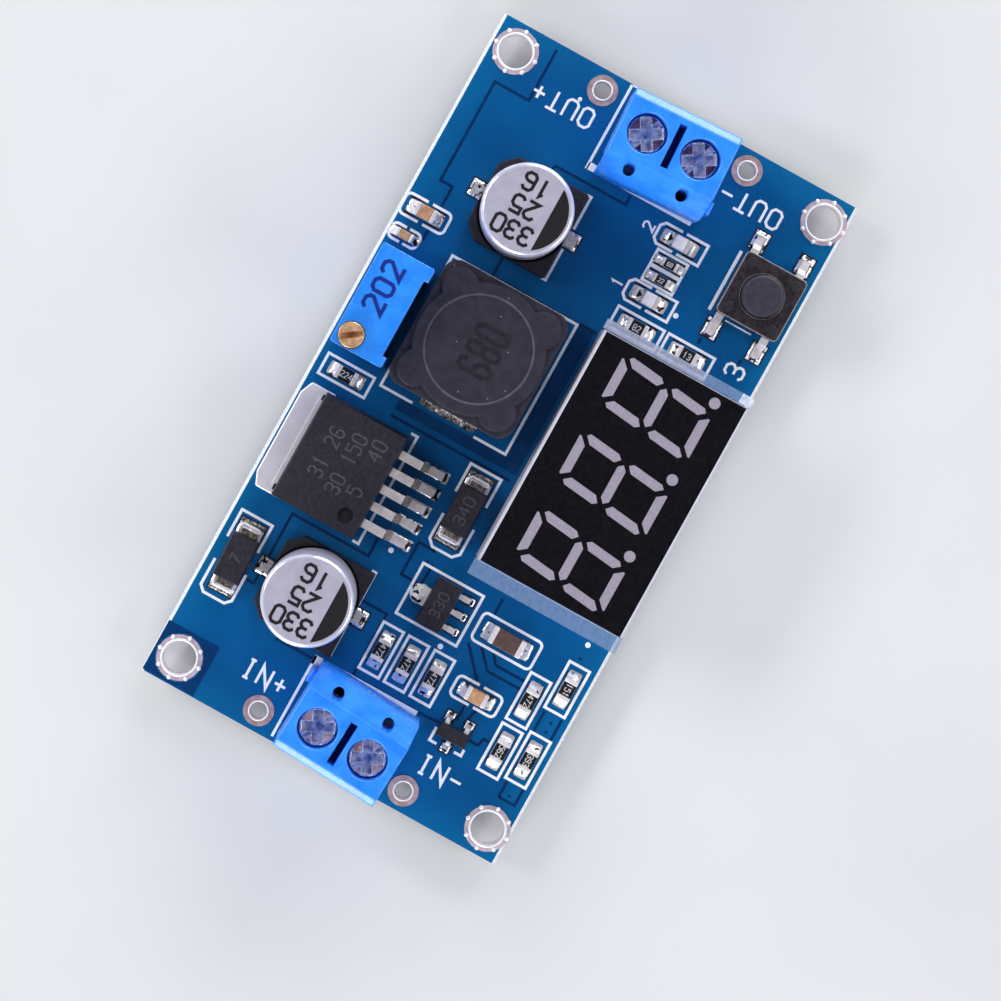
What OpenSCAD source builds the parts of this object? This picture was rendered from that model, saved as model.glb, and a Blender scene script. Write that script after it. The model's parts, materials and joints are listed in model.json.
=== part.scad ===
// Step-down converter board with a three-digit voltmeter, built piece by piece.
// Origin: middle of the mounting-hole pattern, on the underside of the board.
// +X runs from the input terminals to the output terminals, +Z is up. Millimetres.

/* [Circuit board] */
// Length of the board along X
board_l = 66; // [64:0.5:68]
// Width of the board along Y
board_w = 35.6; // [35.2:0.1:37]
// Thickness of the board
board_t = 1.6; // [1:0.1:2]
// Offset along Y of the board's middle from the middle of its hole pattern
board_shift = 0.2; // [0:0.1:0.4]
// Width of the bevel that V-scoring leaves on the long edges
score_bevel = 0.3; // [0.1:0.05:0.4]
// Mounting hole pitch along X
hole_pitch_x = 61; // [60:0.5:61]
// Mounting hole pitch along Y
hole_pitch_y = 31; // [30:0.5:31]
// Radius of a mounting hole
hole_r = 1.5; // [1.3:0.1:1.6]
// Radius of the tinned ring round a mounting hole
hole_ring_r = 2.05; // [1.9:0.05:2.1]
// Radius of a wire hole beside the terminals
wire_hole_r = 0.775; // [0.6:0.025:0.9]
// Radius of the tinned ring round a wire hole
wire_ring_r = 1.38; // [1.2:0.02:1.5]
// How far the soldered pins stand out below the board
pin_proud = 1.5; // [1.2:0.1:2]

/* [Terminal blocks] */
// Distance of each block's screw axes from the middle of the board, along X
block_x = 29; // [28.8:0.1:29.2]
// Place of the blocks along Y
block_y = -0.4; // [-0.6:0.1:0]
// Angle at which the input block was soldered askew
input_skew = -3; // [-4:0.5:0]
// Angle at which the output block was soldered askew
output_skew = 2.8; // [0:0.2:4]
// Width of a two-pole block
block_w = 10; // [10:0.1:10.4]
// Height of a block above the board
block_h = 10; // [10:0.1:11]
// From the screw axis to the wire-entry face
block_front = 3.2; // [3.2:0.1:3.6]
// From the screw axis to the back face
block_back = 4.4; // [4.2:0.1:4.6]
// Distance between the two poles
pole_pitch = 5; // [5:0.01:5.08]

/* [Clamping screws] */
// Radius of a screw head
head_r = 1.65; // [1.5:0.05:1.65]
// Radius of the well above a screw
well_r = 1.75; // [1.7:0.05:1.9]
// Outer radius of the screw's thread
shank_r = 1.4; // [1.3:0.05:1.4]
// Radial clearance of the thread in the contact
thread_gap = 0.05; // [0.03:0.01:0.08]
// How far a screw's head lies below the top of the block when it is open
head_depth = 1.4; // [1:0.1:1.4]

/* [Electrolytic capacitors] */
// Radius of a can
can_r = 4; // [3.8:0.05:4.1]
// Height of a can above the board
can_h = 10.2; // [9.5:0.1:10.5]
// Side of the square base
can_base = 8.3; // [8.2:0.1:8.6]

/* [Inductor] */
// Side of the square ferrite shield
choke_side = 12; // [11.5:0.1:12.2]
// Height of the inductor above the board
choke_h = 7.8; // [6:0.1:8]
// Radius of the drum core's flanges
drum_r = 4.65; // [4.5:0.05:4.7]

/* [Voltmeter display] */
// Length of the display's case along X
case_l = 22.6; // [22.4:0.1:22.8]
// Width of the display's case along Y
case_w = 14.2; // [14:0.1:14.3]
// Height of the display's face above the board
face_z = 7.2; // [7:0.1:7.6]
// Height of a digit
digit_h = 9.14; // [9:0.02:9.3]
// Width of a digit
digit_w = 4.86; // [4.7:0.02:5]
// Distance from digit to digit
digit_pitch = 7.5; // [7.4:0.05:7.6]
// Width of a segment
segment_w = 0.83; // [0.7:0.01:0.9]
// Lean of the digits
digit_slant = 6.5; // [5:0.5:8]

/* [Trimmer and switch] */
// Length of the multi-turn trimmer
trimmer_l = 9.53; // [9.4:0.01:9.6]
// Width of the trimmer
trimmer_w = 5; // [4.8:0.01:5.1]
// Height of the trimmer's case above the board
trimmer_h = 10; // [9.5:0.1:10.2]
// Radius of the trimmer's brass screw
adjuster_r = 1.12; // [1:0.02:1.15]
// Side of the push switch
switch_side = 6; // [5.9:0.1:6.2]
// Radius of the switch's button
button_r = 1.85; // [1.7:0.05:1.9]
// Height of the button's top above the board
button_h = 4.3; // [4:0.1:5]
// Travel of the button
button_travel = 0.25; // [0.2:0.05:0.3]

/* [Hidden] */

// Small overlap for clean cuts
cut = 0.5;
// Thickness of the copper rings on the board's faces
ring_t = 0.05;
// Places of the wire holes
wire_holes = [[-31.2, 7.15], [-31.2, -7.4], [31.2, 7.15], [31.2, -7.4]];

// Radius of a plated hole for a terminal pin, and the pin's two widths
pin_hole_r = 0.85;
pin_size = [1.2, 0.9];
// Radius of a plated hole for a round pin, and of the pin
fine_hole_r = 0.45;
fine_pin_r = 0.25;
// Solder cones on the underside
cone_spread = 0.5;
cone_h = 1.1;

// Terminal block: shoulders, chambers, entries and slots
block_chamfer = 0.7;
block_drop = 0.5;
slope_start = 2.65;
slope_foot = 6;
chamber_w = 3.9;
chamber_h = 6.6;
chamber_front = 2.2;
chamber_back = 3.3;
entry_w = 3.4;
entry_rim = 0.35;
entry_top = 4;
slot_l = 4;
slot_w = 0.65;
slot_depth = 5.5;
vent_x = 3.3;
vent_r = 0.5;
vent_floor = 1;
tongue_x = 3.05;
// Contact: a folded strip whose top arm is threaded
contact_foot = 0.5;
contact_t = 0.8;
contact_arm_z = 4.9;
contact_arm_t = 1;
contact_back = 2.9;
contact_front = 2;
guard_t = 0.5;
guard_w = 3.3;
guard_z = 3.9;
head_h = 0.9;
head_edge = 0.2;
// Cross recess of a screw: length and width of its arms, depth, and its turn
cross_l = 2.9;
cross_w = 0.9;
cross_depth = 0.5;
cross_turn = 28;
// Narrow slot that runs across the cross, for a flat blade
blade_w = 0.4;
blade_depth = 0.35;
blade_turn = -24;

// Places of the parts on the board
input_can_at = [-19.8, 8.1];
output_can_at = [18.3, 7.85];
choke_at = [5.95, 5.7];
regulator_at = [-8.75, 11.3];
rectifier_at = [-7, -0.1];
input_diode_at = [-20.3, 15.35];
input_diode_skew = 2;
trimmer_at = [5.25, 14.7];
adjuster_offset = [-3.5, 1.05];
logic_supply_at = [-15.3, -2.2];
transistor_at = [-24.75, -8.8];
// Turn and sideways place of each of the transistor's leads
transistor_lead_places = [[180, 0], [0, 0.95], [0, -0.95]];
switch_at = [21.93, -13.64];
display_at = [1.4, -10];
controller_at = [1.4, -10];

// Chip parts: length, width, height, length of an end cap
chip_0603 = [1.6, 0.8, 0.45, 0.3];
chip_0805 = [2, 1.25, 0.5, 0.4];
capacitor_0603 = [1.6, 0.8, 0.8, 0.3];
capacitor_0805 = [2, 1.25, 1, 0.4];
capacitor_1206 = [3.2, 1.6, 1.25, 0.5];
// Each chip part: place, angle, size
resistors = [
    [[-21.3, 0.3], 0, chip_0805], [[-21.3, -2.25], 0, chip_0805], [[-21.3, -4.85], 0, chip_0805],
    [[-24, -13.15], 0, chip_0805], [[-18.9, -13.2], 0, chip_0805],
    [[-23.5, -15.7], 0, chip_0805], [[-16.4, -15.7], 0, chip_0805],
    [[-1.65, 14.7], 90, chip_0805], [[14.35, -5.6], 90, chip_0805], [[14.35, -10.65], 90, chip_0805],
    [[19.05, -5.45], 90, chip_0603], [[20.65, -5.45], 90, chip_0603]
];
capacitors = [
    [[-20.8, -9], 90, capacitor_0805], [[-15.25, -9], 90, capacitor_1206],
    [[14.2, 15.55], 90, capacitor_0805], [[11.6, 16.2], 90, capacitor_0603]
];
indicator_size = [2, 1.25, 0.35, 0.4];
indicator_lens_h = 0.75;
indicators = [[[17.1, -5.3], 90, indicator_size], [[22.75, -5.3], 90, indicator_size]];
chip_parts = concat(resistors, capacitors, indicators);

// Regulator package: moulded body, tab and leads
regulator_size = [10.2, 8.2, 4.5];
tab_t = 1.3;
tab_reach = 2.1;
lead_pitch = 1.7;

// Inductor: feet, its tinned strips (from, to, width), the step below its top,
// the gap round the drum core, and the core's stem and flanges
choke_foot = 0.4;
choke_strip = [3.4, 5.9, 5.4];
choke_step = 0.35;
choke_disc_r = 5.75;
choke_lobe_r = 1.6;
choke_lobe_at = 4;
drum_gap = 0.1;
stem_r = 2.4;
flange_t = 1.3;

// Trimmer: recess along its -Y side, from, to and depth
trimmer_recess = [-3.8, 3.5, 0.4];
// Trimmer screw: clearance, and its lengths above and below the top of the case
adjuster_gap = 0.05;
adjuster_proud = 1.2;
adjuster_depth = 2;
adjuster_slot_turn = 125;

// Display
case_foot = 0.8;
face_t = 0.1;
film_t = 0.1;
film_size = [24.9, 14.4];
film_shift = [-0.2, 0.1];
back_t = 0.5;
pin_pitch = 2.54;
pin_row = 5.08;

// Push switch
cover_z = 3.2;
cover_t = 0.2;
switch_well_r = 2.4;
switch_well_z = 0.8;
dome_r = 2.1;
// The dome stands twice as high as it is pressed
dome_rise = 2 * button_travel;
dome_t = 0.1;
nib_z = switch_well_z + dome_rise + dome_t + 0.02;
button_flange_r = 2.2;
stake_r = 0.5;
stake_at = 2.15;

// ---------- Shared shapes ----------

function unit(v) = v / norm(v);
function left_of(a, b) = let (d = unit(b - a)) [-d[1], d[0]];
function reversed(list) = [for (i = [len(list) - 1:-1:0]) list[i]];

// One side of a bent strip: the path moved sideways by off, with mitred corners
function strip_side(path, off) = [
    for (i = [0:len(path) - 1])
        let (last = len(path) - 1)
        let (before = i > 0 ? left_of(path[i - 1], path[i]) : left_of(path[0], path[1]))
        let (after = i < last ? left_of(path[i], path[i + 1]) : before)
        path[i] + off * (before + after) / (1 + before * after)
];

// Points of an arc about c, from angle a0 to a1, in n steps
function arc(c, r, a0, a1, n = 5) = [
    for (i = [0:n]) let (a = a0 + (a1 - a0) * i / n) c + r * [cos(a), sin(a)]
];

// A strip bent along a path of [out, up] points, wide along Y
module bent_strip(path, thick, wide) {
    outline = concat(strip_side(path, thick / 2), reversed(strip_side(path, -thick / 2)));
    rotate([90, 0, 0]) linear_extrude(wide, center = true) polygon(outline);
}

// A moulded body whose sides slope in above and below its parting line
module moulded_block(size, foot, parting, draft) {
    top = size[2];
    module side(length, depth) {
        half = length / 2;
        linear_extrude(depth + 1, center = true) polygon([
            [-half + draft * (parting - foot), foot], [half - draft * (parting - foot), foot],
            [half, parting], [half - draft * (top - parting), top],
            [-half + draft * (top - parting), top], [-half, parting]
        ]);
    }
    intersection() {
        rotate([90, 0, 0]) side(size[0], size[1]);
        rotate([90, 0, 90]) side(size[1], size[0]);
    }
}

module rounded_square(l, w, r) {
    square([l - 2 * r, w], center = true);
    square([l, w - 2 * r], center = true);
    for (x = [-1, 1], y = [-1, 1]) translate([x * (l / 2 - r), y * (w / 2 - r)]) circle(r, $fn = 32);
}

// Put something at a place on the board's top
module on_board(place, angle = 0) {
    translate([place[0], place[1], board_t]) rotate([0, 0, angle]) children();
}

module at_mounting_holes() {
    for (x = [-0.5, 0.5], y = [-0.5, 0.5]) translate([x * hole_pitch_x, y * hole_pitch_y]) children();
}

// The two blocks' own frames: wire entries face -X, the screw axes lie at X = 0
module input_block() on_board([-block_x, block_y], input_skew) children();
module output_block() on_board([block_x, block_y], 180 + output_skew) children();
module at_poles() {
    for (y = [-0.5, 0.5]) translate([0, y * pole_pitch, 0]) children();
}

module at_trimmer_pins() {
    for (i = [-1:1]) on_board(trimmer_at) translate([i * pin_pitch, 0, 0]) children();
}

// Six pins in one row of the display, five in the other
module at_display_pins() {
    on_board(display_at) {
        for (i = [-2.5:2.5]) translate([i * pin_pitch, -pin_row, 0]) children();
        for (i = [-2.5:1.5]) translate([i * pin_pitch, pin_row, 0]) children();
    }
}

// ---------- Board ----------

// Cross-section of the board, with V-scored long edges
module board_section() {
    half = board_w / 2;
    third = board_t / 3;
    polygon([
        [-half + score_bevel, 0], [half - score_bevel, 0], [half, third], [half, 2 * third],
        [half - score_bevel, board_t], [-half + score_bevel, board_t], [-half, 2 * third], [-half, third]
    ]);
}

module through_board(r) translate([0, 0, -board_t - cut]) cylinder(r = r, h = board_t + 2 * cut, $fn = 32);

module circuit_board() color("royalblue") difference() {
    translate([0, board_shift, 0]) rotate([90, 0, 90]) linear_extrude(board_l, center = true) board_section();
    translate([0, 0, board_t]) at_mounting_holes() through_board(hole_r);
    for (p = wire_holes) on_board(p) through_board(wire_hole_r);
    input_block() at_poles() through_board(pin_hole_r);
    output_block() at_poles() through_board(pin_hole_r);
    at_trimmer_pins() through_board(fine_hole_r);
    at_display_pins() through_board(fine_hole_r);
}

// Tinned ring, flush with the hole, with eight small lobes where its stitching vias lie
module lobed_ring() {
    difference() {
        union() {
            circle(hole_ring_r, $fn = 48);
            for (a = [0:45:315]) rotate(a) translate([hole_ring_r - 0.05, 0]) circle(0.16, $fn = 24);
        }
        circle(hole_r, $fn = 48);
    }
}

module wire_ring() difference() {
    circle(wire_ring_r, $fn = 48);
    circle(wire_hole_r, $fn = 48);
}

module pad_rings() color("silver") for (z = [-ring_t, board_t]) translate([0, 0, z]) {
    at_mounting_holes() linear_extrude(ring_t) lobed_ring();
    for (p = wire_holes) translate(p) linear_extrude(ring_t) wire_ring();
}

// ---------- Solder ----------

// Concave fillet that runs out along +X from a lead's end at the origin
module fillet(reach, rise, wide) {
    rotate([90, 0, 0]) linear_extrude(wide, center = true) polygon([
        [0, 0], [reach, 0], [reach, 0.05], [reach * 0.4, rise * 0.35], [0, rise]
    ]);
}

// A fillet at both ends of a part of this length
module end_fillets(length, reach, rise, wide) {
    for (a = [0, 180]) rotate([0, 0, a]) translate([length / 2, 0, 0]) fillet(reach, rise, wide);
}

module surface_solder() color("lightgray") {
    for (c = chip_parts) on_board(c[0], c[1]) end_fillets(c[2][0], 0.75, c[2][2] * 0.8, c[2][1]);
    for (p = [input_can_at, output_can_at]) on_board(p, 90) end_fillets(10.1, 0.35, 0.15, 1.5);
    on_board(rectifier_at) end_fillets(5.4, 0.75, 0.8, 2.3);
    on_board(input_diode_at, input_diode_skew) end_fillets(5.4, 0.75, 0.8, 2.3);
    on_board(choke_at) translate([choke_strip[1], 0, 0]) fillet(0.25, 0.2, choke_strip[2]);
    on_board(choke_at) translate([-choke_strip[1], -0.45, 0]) rotate([0, 0, 180]) fillet(1.1, 0.3, 5.7);
    for (i = [-2:2]) on_board(regulator_at) translate([i * lead_pitch, -regulator_size[1] / 2 - 4.3, 0])
        rotate([0, 0, -90]) fillet(0.5, 0.45, 1.1);
    for (i = [-1:1]) on_board(logic_supply_at) translate([i * 1.5, -2.3, 0])
        rotate([0, 0, -90]) fillet(0.4, 0.3, 0.7);
    for (p = transistor_lead_places) on_board(transistor_at) rotate([0, 0, p[0]])
        translate([1.4, p[1], 0]) fillet(0.35, 0.12, 0.8);
    for (y = [-2.25, 2.25]) on_board(switch_at) translate([0, y, 0]) end_fillets(9.8, 0.35, 0.2, 1.2);
}

// Solder that fills a plated hole and rises as a cone round the pin below the board
module solder_joint(r, tip_r) {
    translate([0, 0, -board_t]) rotate_extrude($fn = 32) polygon([
        [0, board_t], [r, board_t], [r, 0], [r + cone_spread, 0],
        [(r + tip_r) / 2 + 0.1, -cone_h * 0.45], [tip_r + 0.05, -cone_h], [0, -cone_h]
    ]);
}

module terminal_solder() difference() {
    solder_joint(pin_hole_r, norm(pin_size) / 2);
    translate([-pin_size[0] / 2, -pin_size[1] / 2, -board_t - 2 * cone_h])
        cube([pin_size[0], pin_size[1], 4 * cone_h]);
}

module fine_solder() difference() {
    solder_joint(fine_hole_r, fine_pin_r);
    translate([0, 0, -board_t - 2 * cone_h]) cylinder(r = fine_pin_r, h = 4 * cone_h, $fn = 24);
}

module pin_solder() color("lightgray") {
    input_block() at_poles() terminal_solder();
    output_block() at_poles() terminal_solder();
    at_trimmer_pins() fine_solder();
    at_display_pins() fine_solder();
}

// ---------- Terminal blocks ----------

// Side view of a block: chamfered front shoulder, flat top, long slope down to the back
module block_section() {
    polygon([
        [-block_front, 0], [-block_front, block_h - block_drop],
        [-block_front + block_chamfer, block_h], [slope_start, block_h],
        [block_back, slope_foot], [block_back, 0]
    ]);
}

// Dovetail that hooks one block to the next
module dovetail(grow = 0) {
    polygon([
        [tongue_x - 0.45 - grow, -0.01], [tongue_x + 0.45 + grow, -0.01],
        [tongue_x + 0.65 + grow, 0.45 + grow], [tongue_x - 0.65 - grow, 0.45 + grow]
    ]);
}

module entry(w, depth, top) {
    translate([-block_front - cut, 0, 0]) rotate([90, 0, 90]) linear_extrude(depth + cut)
        translate([0, (contact_foot + contact_t + top) / 2])
            rounded_square(w, top - contact_foot - contact_t, 0.3);
}

module terminal_housing() difference() {
    union() {
        rotate([90, 0, 0]) linear_extrude(block_w, center = true) block_section();
        translate([0, block_w / 2, 0]) linear_extrude(slope_foot) dovetail();
    }
    at_poles() {
        translate([-chamber_front, -chamber_w / 2, -cut])
            cube([chamber_front + chamber_back, chamber_w, chamber_h + cut]);
        cylinder(r = well_r, h = block_h + cut, $fn = 48);
        entry(entry_w, block_front, entry_top);
        entry(entry_w + 2 * entry_rim, entry_rim, entry_top + entry_rim);
        translate([vent_x, 0, vent_floor]) cylinder(r = vent_r, h = block_h, $fn = 24);
    }
    translate([-slot_l / 2, -slot_w / 2, block_h - slot_depth]) cube([slot_l, slot_w, slot_depth + cut]);
    translate([0, -block_w / 2, -cut]) linear_extrude(slope_foot + cut) dovetail(0.1);
}

// Folded contact: foot, back and threaded arm, with its pin through the board
module terminal_contact() difference() {
    union() {
        rotate([90, 0, 0]) linear_extrude(chamber_w, center = true) polygon([
            [-contact_front, contact_foot], [contact_back, contact_foot],
            [contact_back, contact_arm_z + contact_arm_t], [-contact_front, contact_arm_z + contact_arm_t],
            [-contact_front, contact_arm_z], [contact_back - contact_t, contact_arm_z],
            [contact_back - contact_t, contact_foot + contact_t], [-contact_front, contact_foot + contact_t]
        ]);
        translate([-pin_size[0] / 2, -pin_size[1] / 2, -board_t - pin_proud])
            cube([pin_size[0], pin_size[1], board_t + pin_proud + contact_foot + contact_t / 2]);
    }
    translate([0, 0, contact_arm_z - cut])
        cylinder(r = shank_r + thread_gap, h = contact_arm_t + 2 * cut, $fn = 48);
}

// Wire guard: the leaf that the screw pushes down onto the wire
module terminal_guard() {
    translate([-contact_front + 0.1, -guard_w / 2, guard_z])
        cube([contact_front + contact_back - contact_t - 0.3, guard_w, guard_t]);
}

// Pan-head screw with a wide cross recess, deeper at its middle, and a narrow slot across it
module terminal_screw() {
    tip = guard_z + guard_t + 0.02;
    top = block_h - head_depth;
    difference() {
        rotate_extrude($fn = 48) polygon(concat(
            [[0, tip], [shank_r - 0.3, tip], [shank_r, tip + 0.3], [shank_r, top - head_h],
             [head_r, top - head_h], [head_r, top - head_edge]],
            arc([head_r - head_edge, top - head_edge], head_edge, 15, 90, 4),
            [[0, top]]
        ));
        for (a = [0, 90]) rotate([0, 0, a + cross_turn])
            translate([-cross_l / 2, -cross_w / 2, top - cross_depth]) cube([cross_l, cross_w, 1]);
        rotate([0, 0, blade_turn]) translate([-head_r - cut, -blade_w / 2, top - blade_depth])
            cube([2 * head_r + 2 * cut, blade_w, 1]);
        translate([0, 0, top - cross_depth - 0.25]) cylinder(r1 = 0.2, r2 = cross_w / 2, h = 0.3, $fn = 24);
    }
}

module input_terminal_housing() color("dodgerblue") input_block() terminal_housing();
module output_terminal_housing() color("dodgerblue") output_block() terminal_housing();
module input_terminal_contacts() color("silver") input_block() at_poles() terminal_contact();
module output_terminal_contacts() color("silver") output_block() at_poles() terminal_contact();

// The output block is turned end for end, so its plus pole lies on the other side of its own frame
module input_pole(side) input_block() translate([0, side * pole_pitch / 2, 0]) children();
module output_pole(side) output_block() translate([0, -side * pole_pitch / 2, 0]) children();

module input_plus_guard() color("silver") input_pole(1) terminal_guard();
module input_minus_guard() color("silver") input_pole(-1) terminal_guard();
module input_plus_screw() color("gainsboro") input_pole(1) terminal_screw();
module input_minus_screw() color("gainsboro") input_pole(-1) terminal_screw();
module output_plus_guard() color("silver") output_pole(1) terminal_guard();
module output_minus_guard() color("silver") output_pole(-1) terminal_guard();
module output_plus_screw() color("gainsboro") output_pole(1) terminal_screw();
module output_minus_screw() color("gainsboro") output_pole(-1) terminal_screw();

// ---------- Electrolytic capacitors ----------

// Flat leads that run out from under the base along Y
module can_lead_pair() {
    for (a = [90, -90]) rotate([0, 0, a]) translate([0.9, -0.45, 0]) cube([4.15, 0.9, 0.15]);
}

// Square base with two chamfered corners on the positive side, and a post at each corner
module can_base_body() {
    half = can_base / 2;
    bevel = 1.3;
    difference() {
        linear_extrude(1.7) polygon([
            [-half, -half], [half, -half], [half, half - bevel],
            [half - bevel, half], [-half + bevel, half], [-half, half - bevel]
        ]);
        translate([0, 0, 0.8]) cylinder(r = half + 0.05, h = 2, $fn = 64);
        can_lead_pair();
    }
}

// Deep-drawn can with a rolled groove near its foot and a round shoulder
module can_body() {
    rotate_extrude($fn = 64) polygon(concat(
        [[0, 0.8], [can_r - 0.3, 0.8], [can_r, 1.1], [can_r, 1.9]],
        arc([can_r, 2.35], 0.4, 270, 90, 6),
        [[can_r, 2.8]],
        arc([can_r - 0.45, can_h - 0.45], 0.45, 0, 90, 6),
        [[0, can_h]]
    ));
}

module input_capacitor_base() color("dimgray") on_board(input_can_at) can_base_body();
module input_capacitor_can() color("lightsteelblue") on_board(input_can_at) can_body();
module input_capacitor_leads() color("silver") on_board(input_can_at) can_lead_pair();
module output_capacitor_base() color("dimgray") on_board(output_can_at) can_base_body();
module output_capacitor_can() color("lightsteelblue") on_board(output_can_at) can_body();
module output_capacitor_leads() color("silver") on_board(output_can_at) can_lead_pair();

// ---------- Inductor ----------

// Raised top of the shield: a disc with a lobe at each corner
module choke_crown() {
    circle(choke_disc_r, $fn = 96);
    for (x = [-1, 1], y = [-1, 1]) translate([x * choke_lobe_at, y * choke_lobe_at])
        circle(choke_lobe_r, $fn = 48);
}

// Ferrite sleeve: square with round corners, a lobed crown on top, and a round bore
module inductor_shield() color("dimgray") on_board(choke_at) difference() {
    union() {
        translate([0, 0, choke_foot]) linear_extrude(choke_h - choke_foot - choke_step)
            rounded_square(choke_side, choke_side, 1.4);
        translate([0, 0, choke_foot]) linear_extrude(choke_h - choke_foot) choke_crown();
    }
    translate([0, 0, -cut]) cylinder(r = drum_r + drum_gap, h = choke_h + 2 * cut, $fn = 96);
}

// Drum core: two flanges on a stem
module inductor_core() color("darkslategray") on_board(choke_at) rotate_extrude($fn = 64) polygon([
    [0, choke_foot], [drum_r + drum_gap, choke_foot], [drum_r + drum_gap, choke_foot + flange_t],
    [stem_r, choke_foot + flange_t], [stem_r, choke_h - flange_t],
    [drum_r, choke_h - flange_t], [drum_r, choke_h - 0.1], [drum_r - 0.1, choke_h],
    [0, choke_h]
]);

module inductor_winding() color("chocolate") on_board(choke_at)
    translate([0, 0, choke_foot + flange_t]) difference() {
        cylinder(r = drum_r - 0.4, h = choke_h - choke_foot - 2 * flange_t, $fn = 64);
        translate([0, 0, -cut]) cylinder(r = stem_r, h = choke_h, $fn = 64);
    }

// Tinned strips under the two ends
module inductor_terminals() color("silver") on_board(choke_at) for (a = [0, 180]) rotate([0, 0, a])
    translate([choke_strip[0], -choke_strip[2] / 2, 0])
        cube([choke_strip[1] - choke_strip[0], choke_strip[2], choke_foot]);

// ---------- Regulator ----------

// Outline of the tab, seen from above, with its two clipped corners
module tab_outline() {
    half = regulator_size[0] / 2 + 0.08;
    back = regulator_size[1] / 2;
    polygon([
        [-half + 1.6, -back + 1.2], [half - 1.6, -back + 1.2], [half - 1.6, back - 0.8],
        [half, back - 0.8], [half, back + tab_reach - 0.5], [half - 1.2, back + tab_reach],
        [-half + 1.2, back + tab_reach], [-half, back + tab_reach - 0.5],
        [-half, back - 0.8], [-half + 1.6, back - 0.8]
    ]);
}

module regulator_tab() color("silver") on_board(regulator_at) linear_extrude(tab_t) tab_outline();

module regulator_body() color("dimgray") on_board(regulator_at) difference() {
    moulded_block(regulator_size, 0.1, 2.3, 0.07);
    translate([0, 0, -cut]) linear_extrude(tab_t + cut) tab_outline();
    translate([-3.5, -2.5, regulator_size[2] - 0.3]) cylinder(r = 0.7, h = 1, $fn = 32);
}

module regulator_leads() color("silver") on_board(regulator_at)
    for (i = [-2:2]) translate([i * lead_pitch, -regulator_size[1] / 2, 0]) rotate([0, 0, -90])
        bent_strip([[0, 2.3], [2, 2.3], [2.7, 0.25], [4.3, 0.25]], 0.5, 0.8);

// ---------- Diodes ----------

module diode_body() moulded_block([4.3, 2.6, 2.2], 0.25, 1.25, 0.14);
module diode_leads() {
    for (a = [0, 180]) rotate([0, 0, a])
        bent_strip([[2.15, 1.25], [2.6, 1.25], [2.6, 0.1], [1.5, 0.1]], 0.2, 1.45);
}

module rectifier_body() color("dimgray") on_board(rectifier_at) diode_body();
module rectifier_leads() color("silver") on_board(rectifier_at) diode_leads();
module input_diode_body() color("dimgray") on_board(input_diode_at, input_diode_skew) diode_body();
module input_diode_leads() color("silver") on_board(input_diode_at, input_diode_skew) diode_leads();

// ---------- Trimmer ----------

module trimmer_case() color("dodgerblue") on_board(trimmer_at) difference() {
    linear_extrude(trimmer_h) rounded_square(trimmer_l, trimmer_w, 0.2);
    translate([-trimmer_l / 2 + 1.2, -trimmer_w, -cut]) cube([trimmer_l - 2.4, 2 * trimmer_w, 0.5 + cut]);
    translate([trimmer_recess[0], -trimmer_w / 2 - cut, -cut])
        cube([trimmer_recess[1] - trimmer_recess[0], trimmer_recess[2] + cut, trimmer_h + 2 * cut]);
    translate([adjuster_offset[0], adjuster_offset[1], trimmer_h - adjuster_depth])
        cylinder(r = adjuster_r + adjuster_gap, h = adjuster_depth + cut, $fn = 32);
}

// Slotted brass screw that works the wiper through a worm inside the case
module trimmer_screw() color("goldenrod") on_board(trimmer_at + adjuster_offset) difference() {
    translate([0, 0, trimmer_h - adjuster_depth + 0.05])
        cylinder(r = adjuster_r, h = adjuster_depth + adjuster_proud - 0.05, $fn = 32);
    translate([0, 0, trimmer_h + adjuster_proud]) rotate([0, 0, adjuster_slot_turn])
        cube([3, 0.55, 1.4], center = true);
}

module trimmer_pins() color("silver") at_trimmer_pins() translate([0, 0, -board_t - pin_proud])
    cylinder(r = fine_pin_r, h = board_t + pin_proud + 0.5, $fn = 24);

// ---------- Small packages ----------

module logic_supply_body() color("dimgray") on_board(logic_supply_at)
    moulded_block([4.5, 2.45, 1.5], 0, 0.45, 0.1);

// Three leads on one side, and the middle one's heat tab with its round end on the other
module logic_supply_leads() color("silver") on_board(logic_supply_at) {
    for (i = [-1:1]) translate([i * 1.5 - 0.23, -2.3, 0]) cube([0.46, 1.1, 0.4]);
    linear_extrude(0.4) difference() {
        union() {
            translate([-0.85, 1.2]) square([1.7, 0.6]);
            translate([0, 1.8]) circle(0.85, $fn = 32);
        }
        translate([-2, 0]) square([4, 1.2]);
    }
}

module transistor_body() color("dimgray") on_board(transistor_at) moulded_block([1.3, 2.9, 1.05], 0.08, 0.5, 0.12);

module transistor_leads() color("silver") on_board(transistor_at)
    for (p = transistor_lead_places) rotate([0, 0, p[0]]) translate([0, p[1], 0])
        bent_strip([[0.65, 0.5], [0.85, 0.5], [1, 0.07], [1.4, 0.07]], 0.14, 0.42);

// ---------- Chip parts ----------

module resistor_bodies() color("dimgray")
    for (c = resistors) on_board(c[0], c[1]) chip_core(c[2]);

module ceramic_capacitors() color("tan")
    for (c = capacitors) on_board(c[0], c[1]) chip_core(c[2]);

module chip_core(size) {
    translate([-size[0] / 2 + size[3], -size[1] / 2, 0.03])
        cube([size[0] - 2 * size[3], size[1], size[2] - 0.05]);
}

module chip_end_caps() color("silver")
    for (c = chip_parts) on_board(c[0], c[1]) for (a = [0, 180]) rotate([0, 0, a])
        translate([c[2][0] / 2 - c[2][3], -c[2][1] / 2, 0]) cube([c[2][3], c[2][1], c[2][2]]);

module indicator_bases() color("whitesmoke")
    for (c = indicators) on_board(c[0], c[1]) chip_core(c[2]);

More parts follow.
